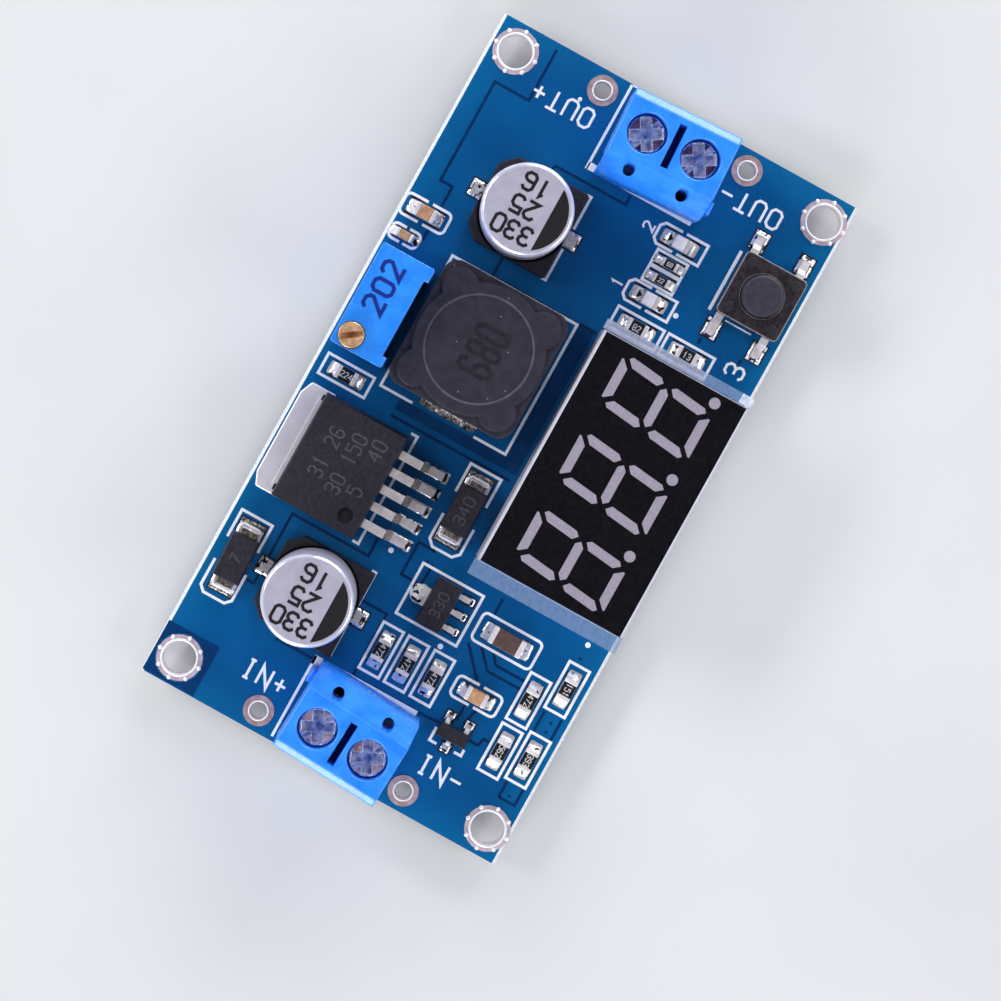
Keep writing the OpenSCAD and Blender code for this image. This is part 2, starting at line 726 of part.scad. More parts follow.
// Clear lens, moulded with a slope at each end
module indicator_lenses() color("white") for (c = indicators) on_board(c[0], c[1])
    translate([0, 0, c[2][2] - 0.02]) rotate([90, 0, 0]) linear_extrude(c[2][1] - 0.05, center = true)
        polygon([[-0.6, 0], [0.6, 0], [0.5, indicator_lens_h - c[2][2]], [-0.5, indicator_lens_h - c[2][2]]]);

// ---------- Push switch ----------

module switch_base() color("dimgray") on_board(switch_at) {
    difference() {
        translate([0, 0, 0.1]) linear_extrude(cover_z - 0.1)
            rounded_square(switch_side - 0.2, switch_side - 0.2, 0.4);
        translate([0, 0, switch_well_z]) cylinder(r = switch_well_r, h = cover_z, $fn = 48);
    }
    // Posts that hold the cover down, with staked heads
    for (x = [-1, 1], y = [-1, 1]) translate([x * stake_at, y * stake_at, cover_z - 0.2])
        cylinder(r = stake_r, h = cover_t + 0.3, $fn = 24);
}

module switch_cover() color("gray") on_board(switch_at) translate([0, 0, cover_z]) linear_extrude(cover_t)
    difference() {
        rounded_square(switch_side, switch_side, 0.45);
        circle(button_r + 0.1, $fn = 48);
        for (x = [-1, 1], y = [-1, 1]) translate([x * stake_at, y * stake_at]) circle(stake_r, $fn = 24);
    }

// Button: a cap that stands through the cover, a flange that keeps it in, and a nib on the dome
module switch_button() color("dimgray") on_board(switch_at) rotate_extrude($fn = 48) polygon([
    [0, nib_z], [0.7, nib_z], [0.7, 2.2],
    [button_flange_r, 2.2], [button_flange_r, cover_z - 0.03], [button_r, cover_z - 0.03],
    [button_r, button_h - 0.2], [button_r - 0.2, button_h], [0, button_h]
]);

function dome_point(share, lift) = [dome_r * share, lift + dome_rise * (1 - share * share)];

// Snap dome that gives the click and brings the button back
module switch_dome() color("silver") on_board(switch_at) translate([0, 0, switch_well_z])
    rotate_extrude($fn = 48) polygon(concat(
        [for (i = [0:6]) dome_point(i / 6, dome_t)],
        [for (i = [6:-1:0]) dome_point(i / 6, 0)]
    ));

module switch_leads() color("silver") on_board(switch_at)
    for (a = [0, 180], y = [-2.25, 2.25]) rotate([0, 0, a]) translate([0, y, 0])
        bent_strip([[2.9, 0.9], [3.5, 0.9], [3.9, 0.1], [4.9, 0.1]], 0.2, 0.75);

// ---------- Display ----------

// Upper right segment of a digit that stands upright about the origin, as unsloped points
function side_segment() = let (x = digit_w / 2, y = digit_h / 2) [
    [x - 0.3, y - 0.58], [x, y - 0.85], [x, 0.8], [x - 0.32, 0.42], [x - segment_w, 0.86],
    [x - segment_w, y - 1.15]
];
function top_segment() = let (x = digit_w / 2, y = digit_h / 2) [
    [x - 0.6, y], [x - 0.55, y - 0.15], [x - 1.15, y - segment_w],
    [-x + 1.15, y - segment_w], [-x + 0.55, y - 0.15], [-x + 0.6, y]
];
function middle_segment() = let (x = digit_w / 2 - 0.55, y = segment_w / 2) [
    [x, 0], [x - 0.4, y], [-x + 0.4, y], [-x, 0], [-x + 0.4, -y], [x - 0.4, -y]
];
function flipped(points, sx, sy) = [for (p = points) [sx * p[0], sy * p[1]]];
function slanted(points) = [for (p = points) [p[0] + p[1] * tan(digit_slant), p[1]]];

module digit_segments() {
    for (sx = [-1, 1], sy = [-1, 1]) polygon(slanted(flipped(side_segment(), sx, sy)));
    for (sy = [-1, 1]) polygon(slanted(flipped(top_segment(), 1, sy)));
    polygon(slanted(middle_segment()));
    translate([2.79, -4.23]) circle(0.5, $fn = 32);
}

module all_segments() for (i = [-1:1]) translate([i * digit_pitch, 0]) digit_segments();

module display_case() color("whitesmoke") on_board(display_at) difference() {
    translate([0, 0, case_foot]) linear_extrude(face_z - face_t - case_foot)
        square([case_l, case_w], center = true);
    translate([0, 0, case_foot + 1]) linear_extrude(face_z) all_segments();
}

module display_face() color("black") on_board(display_at) translate([0, 0, face_z - face_t])
    linear_extrude(face_t) difference() {
        square([case_l - 0.2, case_w - 0.25], center = true);
        all_segments();
    }

module display_segments() color("thistle") on_board(display_at) translate([0, 0, case_foot + 1])
    linear_extrude(face_z - case_foot - 1) all_segments();

module display_back() color("darkseagreen") difference() {
    on_board(display_at) translate([-case_l / 2 + 0.2, -case_w / 2 + 0.2, case_foot - back_t])
        cube([case_l - 0.4, case_w - 0.4, back_t]);
    at_display_pins() cylinder(r = fine_pin_r, h = 2, $fn = 24);
}

module display_pins() color("silver") at_display_pins() translate([0, 0, -board_t - pin_proud])
    cylinder(r = fine_pin_r, h = board_t + pin_proud + case_foot, $fn = 24);

module display_film() color("aliceblue", 0.5) on_board(display_at + film_shift)
    translate([-film_size[0] / 2, -film_size[1] / 2, face_z]) cube([film_size[0], film_size[1], film_t]);

// ---------- Controller on the underside ----------

module under_board(place) translate([place[0], place[1], 0]) mirror([0, 0, 1]) children();

module controller_body() color("dimgray") under_board(controller_at) moulded_block([6.5, 4.4, 1.05], 0.1, 0.55, 0.12);

module controller_leads() color("silver") under_board(controller_at)
    for (a = [90, -90], i = [-4.5:4.5]) rotate([0, 0, a]) translate([0, i * 0.65, 0])
        bent_strip([[2.2, 0.55], [2.5, 0.55], [2.7, 0.07], [3.2, 0.07]], 0.14, 0.24);

// ---------- Drawing ----------

circuit_board();
pad_rings();
surface_solder();
pin_solder();
input_terminal_housing();
input_terminal_contacts();
input_plus_guard();
input_minus_guard();
input_plus_screw();
input_minus_screw();
output_terminal_housing();
output_terminal_contacts();
output_plus_guard();
output_minus_guard();
output_plus_screw();
output_minus_screw();
input_capacitor_base();
input_capacitor_can();
input_capacitor_leads();
output_capacitor_base();
output_capacitor_can();
output_capacitor_leads();
inductor_shield();
inductor_core();
inductor_winding();
inductor_terminals();
regulator_body();
regulator_tab();
regulator_leads();
rectifier_body();
rectifier_leads();
input_diode_body();
input_diode_leads();
trimmer_case();
trimmer_screw();
trimmer_pins();
logic_supply_body();
logic_supply_leads();
transistor_body();
transistor_leads();
resistor_bodies();
ceramic_capacitors();
chip_end_caps();
indicator_bases();
indicator_lenses();
switch_base();
switch_cover();
switch_button();
switch_dome();
switch_leads();
display_case();
display_face();
display_segments();
display_back();
display_pins();
display_film();
controller_body();
controller_leads();
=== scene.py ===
# %% [markdown]
# # Dressing a step-down converter board
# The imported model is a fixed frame: every solid already lies at its real size and place, in metres.
# This lesson gives each piece its finish and adds what is too fine for the solids, such as the white
# legend, the solder's flow and the printed numbers. It never moves or resizes a solid. Lengths are
# written in millimetres and are turned into metres at the last moment.

# %% Load the frame
import math
import random

import bmesh
import bpy
from mathutils import Matrix, Vector, noise
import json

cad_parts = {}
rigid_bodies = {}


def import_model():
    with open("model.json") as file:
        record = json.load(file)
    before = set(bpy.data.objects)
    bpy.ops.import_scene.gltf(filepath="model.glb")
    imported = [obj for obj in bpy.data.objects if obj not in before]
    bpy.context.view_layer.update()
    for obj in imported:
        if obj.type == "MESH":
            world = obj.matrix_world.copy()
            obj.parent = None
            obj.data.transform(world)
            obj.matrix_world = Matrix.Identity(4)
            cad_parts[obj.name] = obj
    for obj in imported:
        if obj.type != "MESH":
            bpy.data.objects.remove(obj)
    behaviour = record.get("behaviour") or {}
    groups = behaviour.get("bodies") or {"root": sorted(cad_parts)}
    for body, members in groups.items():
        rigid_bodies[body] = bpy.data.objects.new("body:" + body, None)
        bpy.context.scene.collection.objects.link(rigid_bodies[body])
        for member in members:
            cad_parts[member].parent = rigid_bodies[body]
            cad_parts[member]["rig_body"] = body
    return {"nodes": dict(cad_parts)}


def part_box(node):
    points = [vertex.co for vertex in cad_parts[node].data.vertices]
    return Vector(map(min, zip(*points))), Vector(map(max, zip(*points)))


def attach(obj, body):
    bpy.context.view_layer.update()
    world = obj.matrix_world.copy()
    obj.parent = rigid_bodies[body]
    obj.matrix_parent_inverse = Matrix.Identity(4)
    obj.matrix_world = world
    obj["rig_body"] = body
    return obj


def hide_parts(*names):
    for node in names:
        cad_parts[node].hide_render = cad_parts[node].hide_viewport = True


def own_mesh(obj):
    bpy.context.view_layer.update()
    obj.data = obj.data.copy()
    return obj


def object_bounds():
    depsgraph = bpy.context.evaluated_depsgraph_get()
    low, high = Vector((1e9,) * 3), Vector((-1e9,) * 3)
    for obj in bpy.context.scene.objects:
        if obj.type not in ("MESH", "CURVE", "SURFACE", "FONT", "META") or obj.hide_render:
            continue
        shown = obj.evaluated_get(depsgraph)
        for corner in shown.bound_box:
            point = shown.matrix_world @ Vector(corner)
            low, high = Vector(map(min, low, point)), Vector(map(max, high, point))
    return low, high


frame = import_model()
cad_low, cad_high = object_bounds()
scene = bpy.context.scene
MM = 0.001  # one millimetre in the frame's metres
print("CAD box in mm:", [round(side / MM, 2) for side in cad_high - cad_low])

# %% [markdown]
# ## Camera
# The board is seen from straight above, turned by 61 degrees, from about 270 mm away. A view from that
# near shows a little of the tall parts' sides. The lens isn't over the middle of the picture, so the
# camera gets a small shift, as a view camera does, and the board stays free of keystone lines.

# %% Camera
BOARD_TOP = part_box("circuit_board")[1].z / MM
PICTURE_WIDTH = 88.1  # across the picture, at the board's face
LENS_HEIGHT = 270  # above the board's face
LENS_OVER = Vector((3.6, 8.2))  # the spot right below the lens
PICTURE_MIDDLE = Vector((-4.7, -2.5))
ROLL = math.radians(-60.98)
SENSOR = 36  # width of the film, as in a 35 mm camera

camera_data = bpy.data.cameras.new("camera")
camera_data.sensor_width = SENSOR
camera_data.lens = SENSOR * LENS_HEIGHT / PICTURE_WIDTH
offset = PICTURE_MIDDLE - LENS_OVER
camera_data.shift_x = offset.dot(Vector((math.cos(ROLL), math.sin(ROLL)))) / PICTURE_WIDTH
camera_data.shift_y = offset.dot(Vector((-math.sin(ROLL), math.cos(ROLL)))) / PICTURE_WIDTH
camera_data.clip_start = 0.01
camera_data.clip_end = 10
camera = bpy.data.objects.new("camera", camera_data)
camera.location = Vector((*LENS_OVER, BOARD_TOP + LENS_HEIGHT)) * MM
camera.rotation_euler = (0, 0, ROLL)
scene.collection.objects.link(camera)
scene.camera = camera
print("lens", round(camera_data.lens, 1), "mm")
print("shift", round(camera_data.shift_x, 3), round(camera_data.shift_y, 3))

# %% [markdown]
# ## Light
# A light tent, as for small glossy things: a pale dome that darkens towards the top, where the camera
# looks in, and soft strips around it. A flat black part then mirrors only the dark hole and stays
# black. The dome is a colour ramp over the height of the direction, which needs no picture.

# %% Dome
scene.view_settings.view_transform = "Standard"
world = bpy.data.worlds.new("studio")
scene.world = world
world.use_nodes = True
sky = world.node_tree.nodes
sky_links = world.node_tree.links
sky_place = sky.new("ShaderNodeTexCoord")
sky_height = sky.new("ShaderNodeSeparateXYZ")
sky_ramp = sky.new("ShaderNodeValToRGB")
sky_links.new(sky_place.outputs["Generated"], sky_height.inputs["Vector"])
sky_links.new(sky_height.outputs["Z"], sky_ramp.inputs["Fac"])
sky_links.new(sky_ramp.outputs["Color"], sky["Background"].inputs["Color"])
sky_stops = sky_ramp.color_ramp.elements
sky_stops[0].color = (0.74, 0.75, 0.80, 1)
sky_stops[1].color = (0.07, 0.07, 0.08, 1)
sky_stops.new(0.55).color = (0.52, 0.53, 0.57, 1)
sky_stops.new(0.85).color = (0.28, 0.28, 0.31, 1)
sky["Background"].inputs["Strength"].default_value = 1.0
print(len(sky_stops), "tones from the table to the top of the dome")

# %% [markdown]
# Six long strips stand round the board. Every rounded edge and every hollow of solder finds one of
# them and lights up. The two low ones past the board's ends let sloped shoulders throw them straight
# at the camera. Together they light a white card to about white, so that colours come out as written.

# %% Strips
STRIP_LONG = 340
STRIP_WIDE = 110
STRIP_AWAY = 430
LOW = 85
HIGH = 300


def strip_light(name, towards, up, power):
    """A long soft strip that stands in this direction, this high, aimed at the middle of the board."""
    lamp_data = bpy.data.lights.new(name, "AREA")
    lamp_data.shape = "RECTANGLE"
    lamp_data.size = STRIP_LONG * MM
    lamp_data.size_y = STRIP_WIDE * MM
    lamp_data.energy = power
    lamp = bpy.data.objects.new(name, lamp_data)
    lamp.location = Vector((towards[0] * STRIP_AWAY, towards[1] * STRIP_AWAY, up)) * MM
    lamp.rotation_euler = (-lamp.location).to_track_quat("-Z", "Y").to_euler()
    scene.collection.objects.link(lamp)


STRIPS = (
    ("input", (-1, 0), LOW, 1.3), ("output", (1, 0), LOW, 1.3),
    ("input_high", (-1, 0), HIGH, 0.6), ("output_high", (1, 0), HIGH, 0.6),
    ("far", (0, 1), HIGH, 1.15), ("near", (0, -1), HIGH, 0.7),
)
for name, towards, up, power in STRIPS:
    strip_light("strip_" + name, towards, up, power)
print(len(STRIPS), "strips,", round(sum(strip[3] for strip in STRIPS), 2), "watts in all")

# %% [markdown]
# ## Colour that drifts
# Colours are written as display values from 0 to 255, as any paint program shows them, and turned
# into the linear values that shaders count in.

# %% Colour
def srgb(red, green, blue):
    """The linear colour that a shader needs, from display values of 0 to 255."""
    shares = [value / 255 for value in (red, green, blue)]
    linear = [s / 12.92 if s <= 0.04045 else ((s + 0.055) / 1.055) ** 2.4 for s in shares]
    return (*linear, 1)


print("middle grey is", round(srgb(128, 128, 128)[0], 3), "in linear light")

# %% [markdown]
# No real surface has one flat colour. `finish` makes a material whose colour and roughness drift
# between two ends, a few spots to a millimetre, over a fine relief. Noise nodes do it, in the object's
# own coordinates, so the spots stay on the piece when it moves. A painted image would have to be
# unwrapped onto every piece.

# %% Finish
def noise_node(nodes, links, per_mm, detail=4):
    """A noise with about this many spots to a millimetre, fixed to the object."""
    place = nodes.new("ShaderNodeTexCoord")
    spots = nodes.new("ShaderNodeTexNoise")
    spots.inputs["Scale"].default_value = per_mm / MM
    spots.inputs["Detail"].default_value = detail
    links.new(place.outputs["Object"], spots.inputs["Vector"])
    return spots.outputs["Fac"]


def ramp_node(nodes, links, factor, stops):
    """A colour ramp from a list of (position, colour)."""
    ramp = nodes.new("ShaderNodeValToRGB")
    for i, (position, colour) in enumerate(stops):
        stop = ramp.color_ramp.elements[i] if i < 2 else ramp.color_ramp.elements.new(position)
        stop.position = position
        stop.color = colour
    links.new(factor, ramp.inputs["Fac"])
    return ramp.outputs["Color"]


def finish(name, dark, light, per_mm, roughness, relief=0, relief_per_mm=25, metal=0, specular=0.5):
    """A material that drifts between two display colours and between two roughnesses.

    Its spots come per_mm to a millimetre, and its relief is this high in millimetres.
    """
    made = bpy.data.materials.new(name)
    made.use_nodes = True
    nodes, links = made.node_tree.nodes, made.node_tree.links
    shader = nodes["Principled BSDF"]
    shader.inputs["Metallic"].default_value = metal
    shader.inputs["Specular IOR Level"].default_value = specular
    stops = [(0.35, srgb(*dark)), (0.65, srgb(*light))]
    tint = ramp_node(nodes, links, noise_node(nodes, links, per_mm), stops)
    links.new(tint, shader.inputs["Base Color"])
    gloss = nodes.new("ShaderNodeMapRange")
    for socket, value in zip(("From Min", "From Max", "To Min", "To Max"), (0.3, 0.7, *roughness)):
        gloss.inputs[socket].default_value = value
    links.new(noise_node(nodes, links, per_mm * 2.3), gloss.inputs["Value"])
    links.new(gloss.outputs["Result"], shader.inputs["Roughness"])
    if relief:
        bump = nodes.new("ShaderNodeBump")
        bump.inputs["Distance"].default_value = relief * MM
        links.new(noise_node(nodes, links, relief_per_mm, 2), bump.inputs["Height"])
        links.new(bump.outputs["Normal"], shader.inputs["Normal"])
    return made


DULL = 0.25  # half of a plain surface's mirror glint, for matt mouldings and inks
print("finish() ready; dull surfaces mirror", DULL)

# %% [markdown]
# ## Floor
# The module stands on the tips of its soldered pins, on a plain pale table.

# %% Floor
table_top = finish("table_top", (208, 209, 212), (214, 215, 217), 0.02, (0.75, 0.85))
bpy.ops.mesh.primitive_plane_add(size=3, location=(0, 0, cad_low.z - 0.02 * MM))
floor = bpy.context.object
floor.name = "floor"
floor.data.materials.append(table_top)
print("floor at", round(floor.location.z / MM, 2), "mm")

# %% [markdown]
# ## Pieces that ride
# Every piece rides on a named body, so that it moves with it in the poses. `new_piece` turns a mesh drawn
# in millimetres into such a piece, and hides the solids that it replaces.

# %% New piece
def set_smooth(mesh, angle):
    """Smooth faces, with hard edges kept where they turn by more than the angle."""
    for face in mesh.faces:
        face.smooth = True
    for edge in mesh.edges:
        edge.smooth = len(edge.link_faces) == 2 and edge.calc_face_angle(0) < math.radians(angle)


def new_piece(name, mesh, materials, body, replaced=(), angle=35):
    """A piece from a mesh in millimetres, riding on a body."""
    bmesh.ops.scale(mesh, vec=(MM, MM, MM), verts=mesh.verts)
    bmesh.ops.recalc_face_normals(mesh, faces=mesh.faces)
    set_smooth(mesh, angle)
    data = bpy.data.meshes.new(name)
    mesh.to_mesh(data)
    mesh.free()
    for material in materials:
        data.materials.append(material)
    piece = bpy.data.objects.new(name, data)
    scene.collection.objects.link(piece)
    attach(piece, body)
    if replaced:
        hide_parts(*replaced)
    return piece


def box_mm(node):
    """Lowest and highest corner of a CAD node, in millimetres."""
    return [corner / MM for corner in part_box(node)]


def top_of(node):
    """The height of a CAD node's top, in millimetres."""
    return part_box(node)[1].z / MM


def middle_of(node):
    """The middle of a CAD node's box, in millimetres."""
    low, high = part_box(node)
    return (low + high) / 2 / MM


print(len(frame["nodes"]), "CAD nodes; the inductor's top is at", round(top_of("inductor_core"), 2), "mm")

# %% [markdown]
# ## Softened copies
# Real mouldings and pressings have no razor edges: their rounded edges catch the light, and that is
# most of what makes them look real. `softened` copies a solid, merges its flat faces and rounds its
# hard edges with a Bevel modifier, which can be changed later, where a sculpted edge could not.
# A rule such as `choose` looks at one face and says which of the piece's finishes it takes.

# %% Softened
def solid_mesh(node):
    """A CAD node's mesh in millimetres, with its split corners merged."""
    mesh = bmesh.new()
    mesh.from_mesh(frame["nodes"][node].data)
    bmesh.ops.remove_doubles(mesh, verts=mesh.verts, dist=1e-6)
    bmesh.ops.scale(mesh, vec=(1 / MM, 1 / MM, 1 / MM), verts=mesh.verts)
    return mesh


def body_of(node):
    """The body that a CAD node rides on."""
    return frame["nodes"][node]["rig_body"]


def softened(node, materials, width, angle=32, segments=2, choose=None, edge_paint=-1, rounded=None):
    """A copy of a CAD node with its hard edges rounded over, which replaces it.

    The rounded strips take the material with the number edge_paint, or their neighbour's if it is -1.
    Where rounded is given, only the hard edges that it says yes to are rounded.
    """
    mesh = solid_mesh(node)
    bmesh.ops.dissolve_limit(mesh, angle_limit=math.radians(0.6), verts=mesh.verts, edges=mesh.edges)
    mesh.normal_update()
    if choose:
        for face in mesh.faces:
            face.material_index = choose(face)
    if rounded:
        weight = mesh.edges.layers.float.new("bevel_weight_edge")
        for edge in mesh.edges:
            hard = len(edge.link_faces) == 2 and edge.calc_face_angle(0) > math.radians(angle)
            edge[weight] = 1 if hard and rounded(edge) else 0
    piece = new_piece(node + ".skin", mesh, materials, body_of(node), [node], angle)
    if width:
        round_over = piece.modifiers.new("round_over", "BEVEL")
        round_over.width = width * MM
        round_over.segments = segments
        round_over.limit_method = "WEIGHT" if rounded else "ANGLE"
        round_over.angle_limit = math.radians(angle)
        round_over.use_clamp_overlap = False
        round_over.harden_normals = True
        round_over.material = edge_paint
    return piece


print("the board's solid has", len(frame["nodes"]["circuit_board"].data.polygons), "faces")

# %% [markdown]
# ## Drawing tools
# Print and solder are drawn on as thin solids. `prism` raises a flat outline, `sweep` carries a
# section along a path with mitred corners, as a plough plane or a piping bag would, and `ribbon` is a
# sweep with a flat section. They are plain mesh code, because a curve object leaves no control over
# which face takes which finish.

# %% Drawing tools
SUNK = 0.01  # print starts this far inside the surface that carries it, so that no gap shows


def prism(mesh, outline, low, high, paint_index=0):
    """Adds a flat solid with this outline, between two heights."""
    bottom = [mesh.verts.new((x, y, low)) for x, y in outline]
    top = [mesh.verts.new((x, y, high)) for x, y in outline]
    faces = [mesh.faces.new(bottom[::-1]), mesh.faces.new(top)]
    for i in range(len(outline)):
        j = (i + 1) % len(outline)
        faces.append(mesh.faces.new((bottom[i], bottom[j], top[j], top[i])))
    for face in faces:
        face.material_index = paint_index


def arc(centre, radius, start, end, steps=6):
    """Points on an arc, angles in degrees."""
    angles = [math.radians(start + (end - start) * i / steps) for i in range(steps + 1)]
    return [(centre[0] + radius * math.cos(a), centre[1] + radius * math.sin(a)) for a in angles]


def sweep(mesh, path, section, closed=False, paint_index=0):
    """Carries a section of (offset, height) points along a path of (x, y) points, mitred at corners."""
    points = [Vector(point) for point in path]
    last = len(points) - 1
    rails = []
    for i, point in enumerate(points):
        ahead = points[(i + 1) % len(points)] - point if closed or i < last else point - points[i - 1]
        behind = point - points[i - 1] if closed or i > 0 else ahead
        ahead.normalize()
        behind.normalize()
        side = Vector((-ahead.y - behind.y, ahead.x + behind.x)) / (1 + ahead.dot(behind))
        rails.append([mesh.verts.new((*(point + side * offset), z)) for offset, z in section])
    turns = len(rails) if closed else last
    corners = len(section)
    faces = []
    for i in range(turns):
        here, there = rails[i], rails[(i + 1) % len(rails)]
        for k in range(corners):
            m = (k + 1) % corners
            faces.append(mesh.faces.new((here[k], here[m], there[m], there[k])))
    if not closed:
        faces += [mesh.faces.new(rails[0][::-1]), mesh.faces.new(rails[-1])]
    for face in faces:
        face.material_index = paint_index


def ribbon(mesh, path, width, low, high, closed=False, paint_index=0):
    """Adds a raised strip along a path of (x, y) points."""
    half = width / 2
    sweep(mesh, path, [(half, low), (half, high), (-half, high), (-half, low)], closed, paint_index)


print("prism, arc, sweep and ribbon ready")

# %% [markdown]
# ## Board
# Blue solder mask covers both faces of a glass-fibre laminate. It is thinner and greener near the rim,
# and the weave of the glass softens its gloss. Two nodes blend the greener tint in towards the rims,
# because a lacquer drifts with its place on the board and not at random.

# %% Solder mask
HALF_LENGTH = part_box("circuit_board")[1].x / MM
LONG_EDGE_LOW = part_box("circuit_board")[0].y / MM
LONG_EDGE_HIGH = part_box("circuit_board")[1].y / MM
RIM = 3.5  # how far the greener tint reaches in from the edges


def rim_share(nodes, links, axis, middle, start, end):
    """A node that climbs from 0 to 1 near the board's two rims along this axis."""
    place = nodes.new("ShaderNodeTexCoord")
    split = nodes.new("ShaderNodeSeparateXYZ")
    links.new(place.outputs["Object"], split.inputs["Vector"])
    shifted = nodes.new("ShaderNodeMath")
    shifted.operation = "SUBTRACT"
    shifted.inputs[1].default_value = middle * MM
    links.new(split.outputs[axis], shifted.inputs[0])
    away = nodes.new("ShaderNodeMath")
    away.operation = "ABSOLUTE"
    links.new(shifted.outputs[0], away.inputs[0])
    near = nodes.new("ShaderNodeMapRange")
    near.interpolation_type = "SMOOTHSTEP"
    near.inputs["From Min"].default_value = start * MM
    near.inputs["From Max"].default_value = end * MM
    near.inputs["To Max"].default_value = 0.3
    links.new(away.outputs[0], near.inputs["Value"])
    return near.outputs["Result"]


def solder_mask():
    """Blue lacquer that turns greener towards the rims."""
    made = finish("solder_mask", (3, 80, 136), (7, 91, 150), 0.12, (0.22, 0.3), 0.002, 6, specular=DULL)
    nodes, links = made.node_tree.nodes, made.node_tree.links
    shader = nodes["Principled BSDF"]
    middle = (LONG_EDGE_LOW + LONG_EDGE_HIGH) / 2
    half_width = LONG_EDGE_HIGH - middle
    for axis, centre, half in (("X", 0, HALF_LENGTH), ("Y", middle, half_width)):
        blend = nodes.new("ShaderNodeMixRGB")
        links.new(rim_share(nodes, links, axis, centre, half - RIM, half), blend.inputs["Fac"])
        links.new(shader.inputs["Base Color"].links[0].from_socket, blend.inputs["Color1"])
        blend.inputs["Color2"].default_value = srgb(10, 114, 164)
        links.new(blend.outputs["Color"], shader.inputs["Base Color"])
    return made


mask_blue = solder_mask()
print("mask gets greener within", RIM, "mm of the rims")

# %% [markdown]
# The sawn ends show the bare laminate, the V-scored long edges are whitish where the blade tore the
# glass, and the holes are plated with tin. One mesh takes all four finishes: each face picks its own
# by where it lies and points.

# %% Board
tin = finish("tin", (218, 208, 208), (247, 241, 240), 1.1, (0.26, 0.4), 0.006, 3, metal=0.12)
laminate = finish("laminate", (150, 158, 128), (196, 200, 176), 4, (0.6, 0.8), 0.02, 8)
scored_edge = finish("scored_edge", (206, 216, 226), (244, 247, 250), 5, (0.65, 0.85), 0.03, 7)


def board_finish(face):
    """0 mask, 1 bare laminate at the sawn ends, 2 scored edge, 3 plated hole wall."""
    if abs(face.normal.z) > 0.99:
        return 0
    centre = face.calc_center_median()
    if abs(abs(centre.x) - HALF_LENGTH) < 0.01:
        return 1
    if centre.y > LONG_EDGE_HIGH - 0.4 or centre.y < LONG_EDGE_LOW + 0.4:
        return 2
    return 3


board = softened("circuit_board", [mask_blue, laminate, scored_edge, tin], 0, choose=board_finish)
print("board:", len(board.data.polygons), "faces")

# %% [markdown]
# ## Copper under the mask
# Where copper is etched away the mask lies on bare laminate and looks darker. Seen through the mask,
# the gaps between the copper areas are dark lines. They are drawn as flat ribbons a hundredth of a
# millimetre high, because that is how the eye reads them and it needs no image.

# %% Copper gaps
gap_blue = finish("gap_blue", (4, 42, 84), (7, 52, 98), 0.4, (0.22, 0.3), specular=DULL)
bare_blue_and_painted_shade = finish("bare_blue_and_painted_shade", (4, 52, 100), (8, 62, 114), 0.4, (0.22, 0.3), specular=DULL)
GAP_WIDTH = 0.26
GAP_TOP = BOARD_TOP + 0.012
BARE_TOP = BOARD_TOP + 0.008
GAPS = [
    [(-21.6, 14), (-21.6, 12.95), (-14.6, 12.95), (-14.6, 5.3), (-12.8, 5.3)],
    [(-24.9, 8.9), (-24.9, 5.1)],
    [(-18.3, 4), (-18.3, 1.4), (-24.5, 1.4), (-24.5, -5.9), (-24.4, -7.3)],
    [(12, 14.6), (13.1, 14.6)],
    [(15.3, 14.6), (17.4, 14.6), (17.4, 15.8), (27.3, 15.8), (27.3, 12.4), (32.4, 12.4)],
    [(14.1, 7.7), (12.2, 7.7), (12.2, -2.7)],
    [(23, 7.7), (23.4, 7.5), (23.4, 0.5), (24.3, 0.5)],
    [(-23.5, -8.5), (-21.9, -8.5)],
    [(-23.5, -9.2), (-21.9, -9.6)],
    [(-24.5, -10.3), (-24.5, -11.2), (-23.8, -11.4), (-23.8, -12)],
    [(-17, -6.1), (-19.6, -8.4)],
    [(-16.8, -7.3), (-18.4, -8.8), (-18.4, -12.1)],
    [(-16.8, -8.5), (-17.6, -9.2), (-17.6, -12.1)],
    [(-12.5, 0), (-14.6, 0), (-14.6, 2), (-11.4, 2), (-11.4, 0.5)],
    [(-13.9, -6.9), (-12.1, -6.9)],
    [(-27.6, -15), (-26, -15)],
    [(-27.6, -15), (-27.6, -16.6), (-26, -16.6)],
    [(-21.3, -14.9), (-19, -14.9)],
    [(-21.3, -16.6), (-19, -16.6)],
    [(-2.8, 9.6), (-2.8, -2.4)],
    [(15.8, -11), (16.4, -11)],
    [(15.8, -15), (16.4, -15)],
]
gaps = bmesh.new()
for path in GAPS:
    ribbon(gaps, path, GAP_WIDTH, BOARD_TOP, GAP_TOP)
VIAS = [(-12.5, 0.48), (-11.45, 0.48), (-27.1, -15.8), (-20.6, -15.9), (-19.7, -15.9), (-13.5, -15.4)]
for via in VIAS:
    prism(gaps, arc(via, 0.14, 0, 330, 11), BOARD_TOP, GAP_TOP)
print(len(GAPS), "gaps and", len(VIAS), "covered vias")
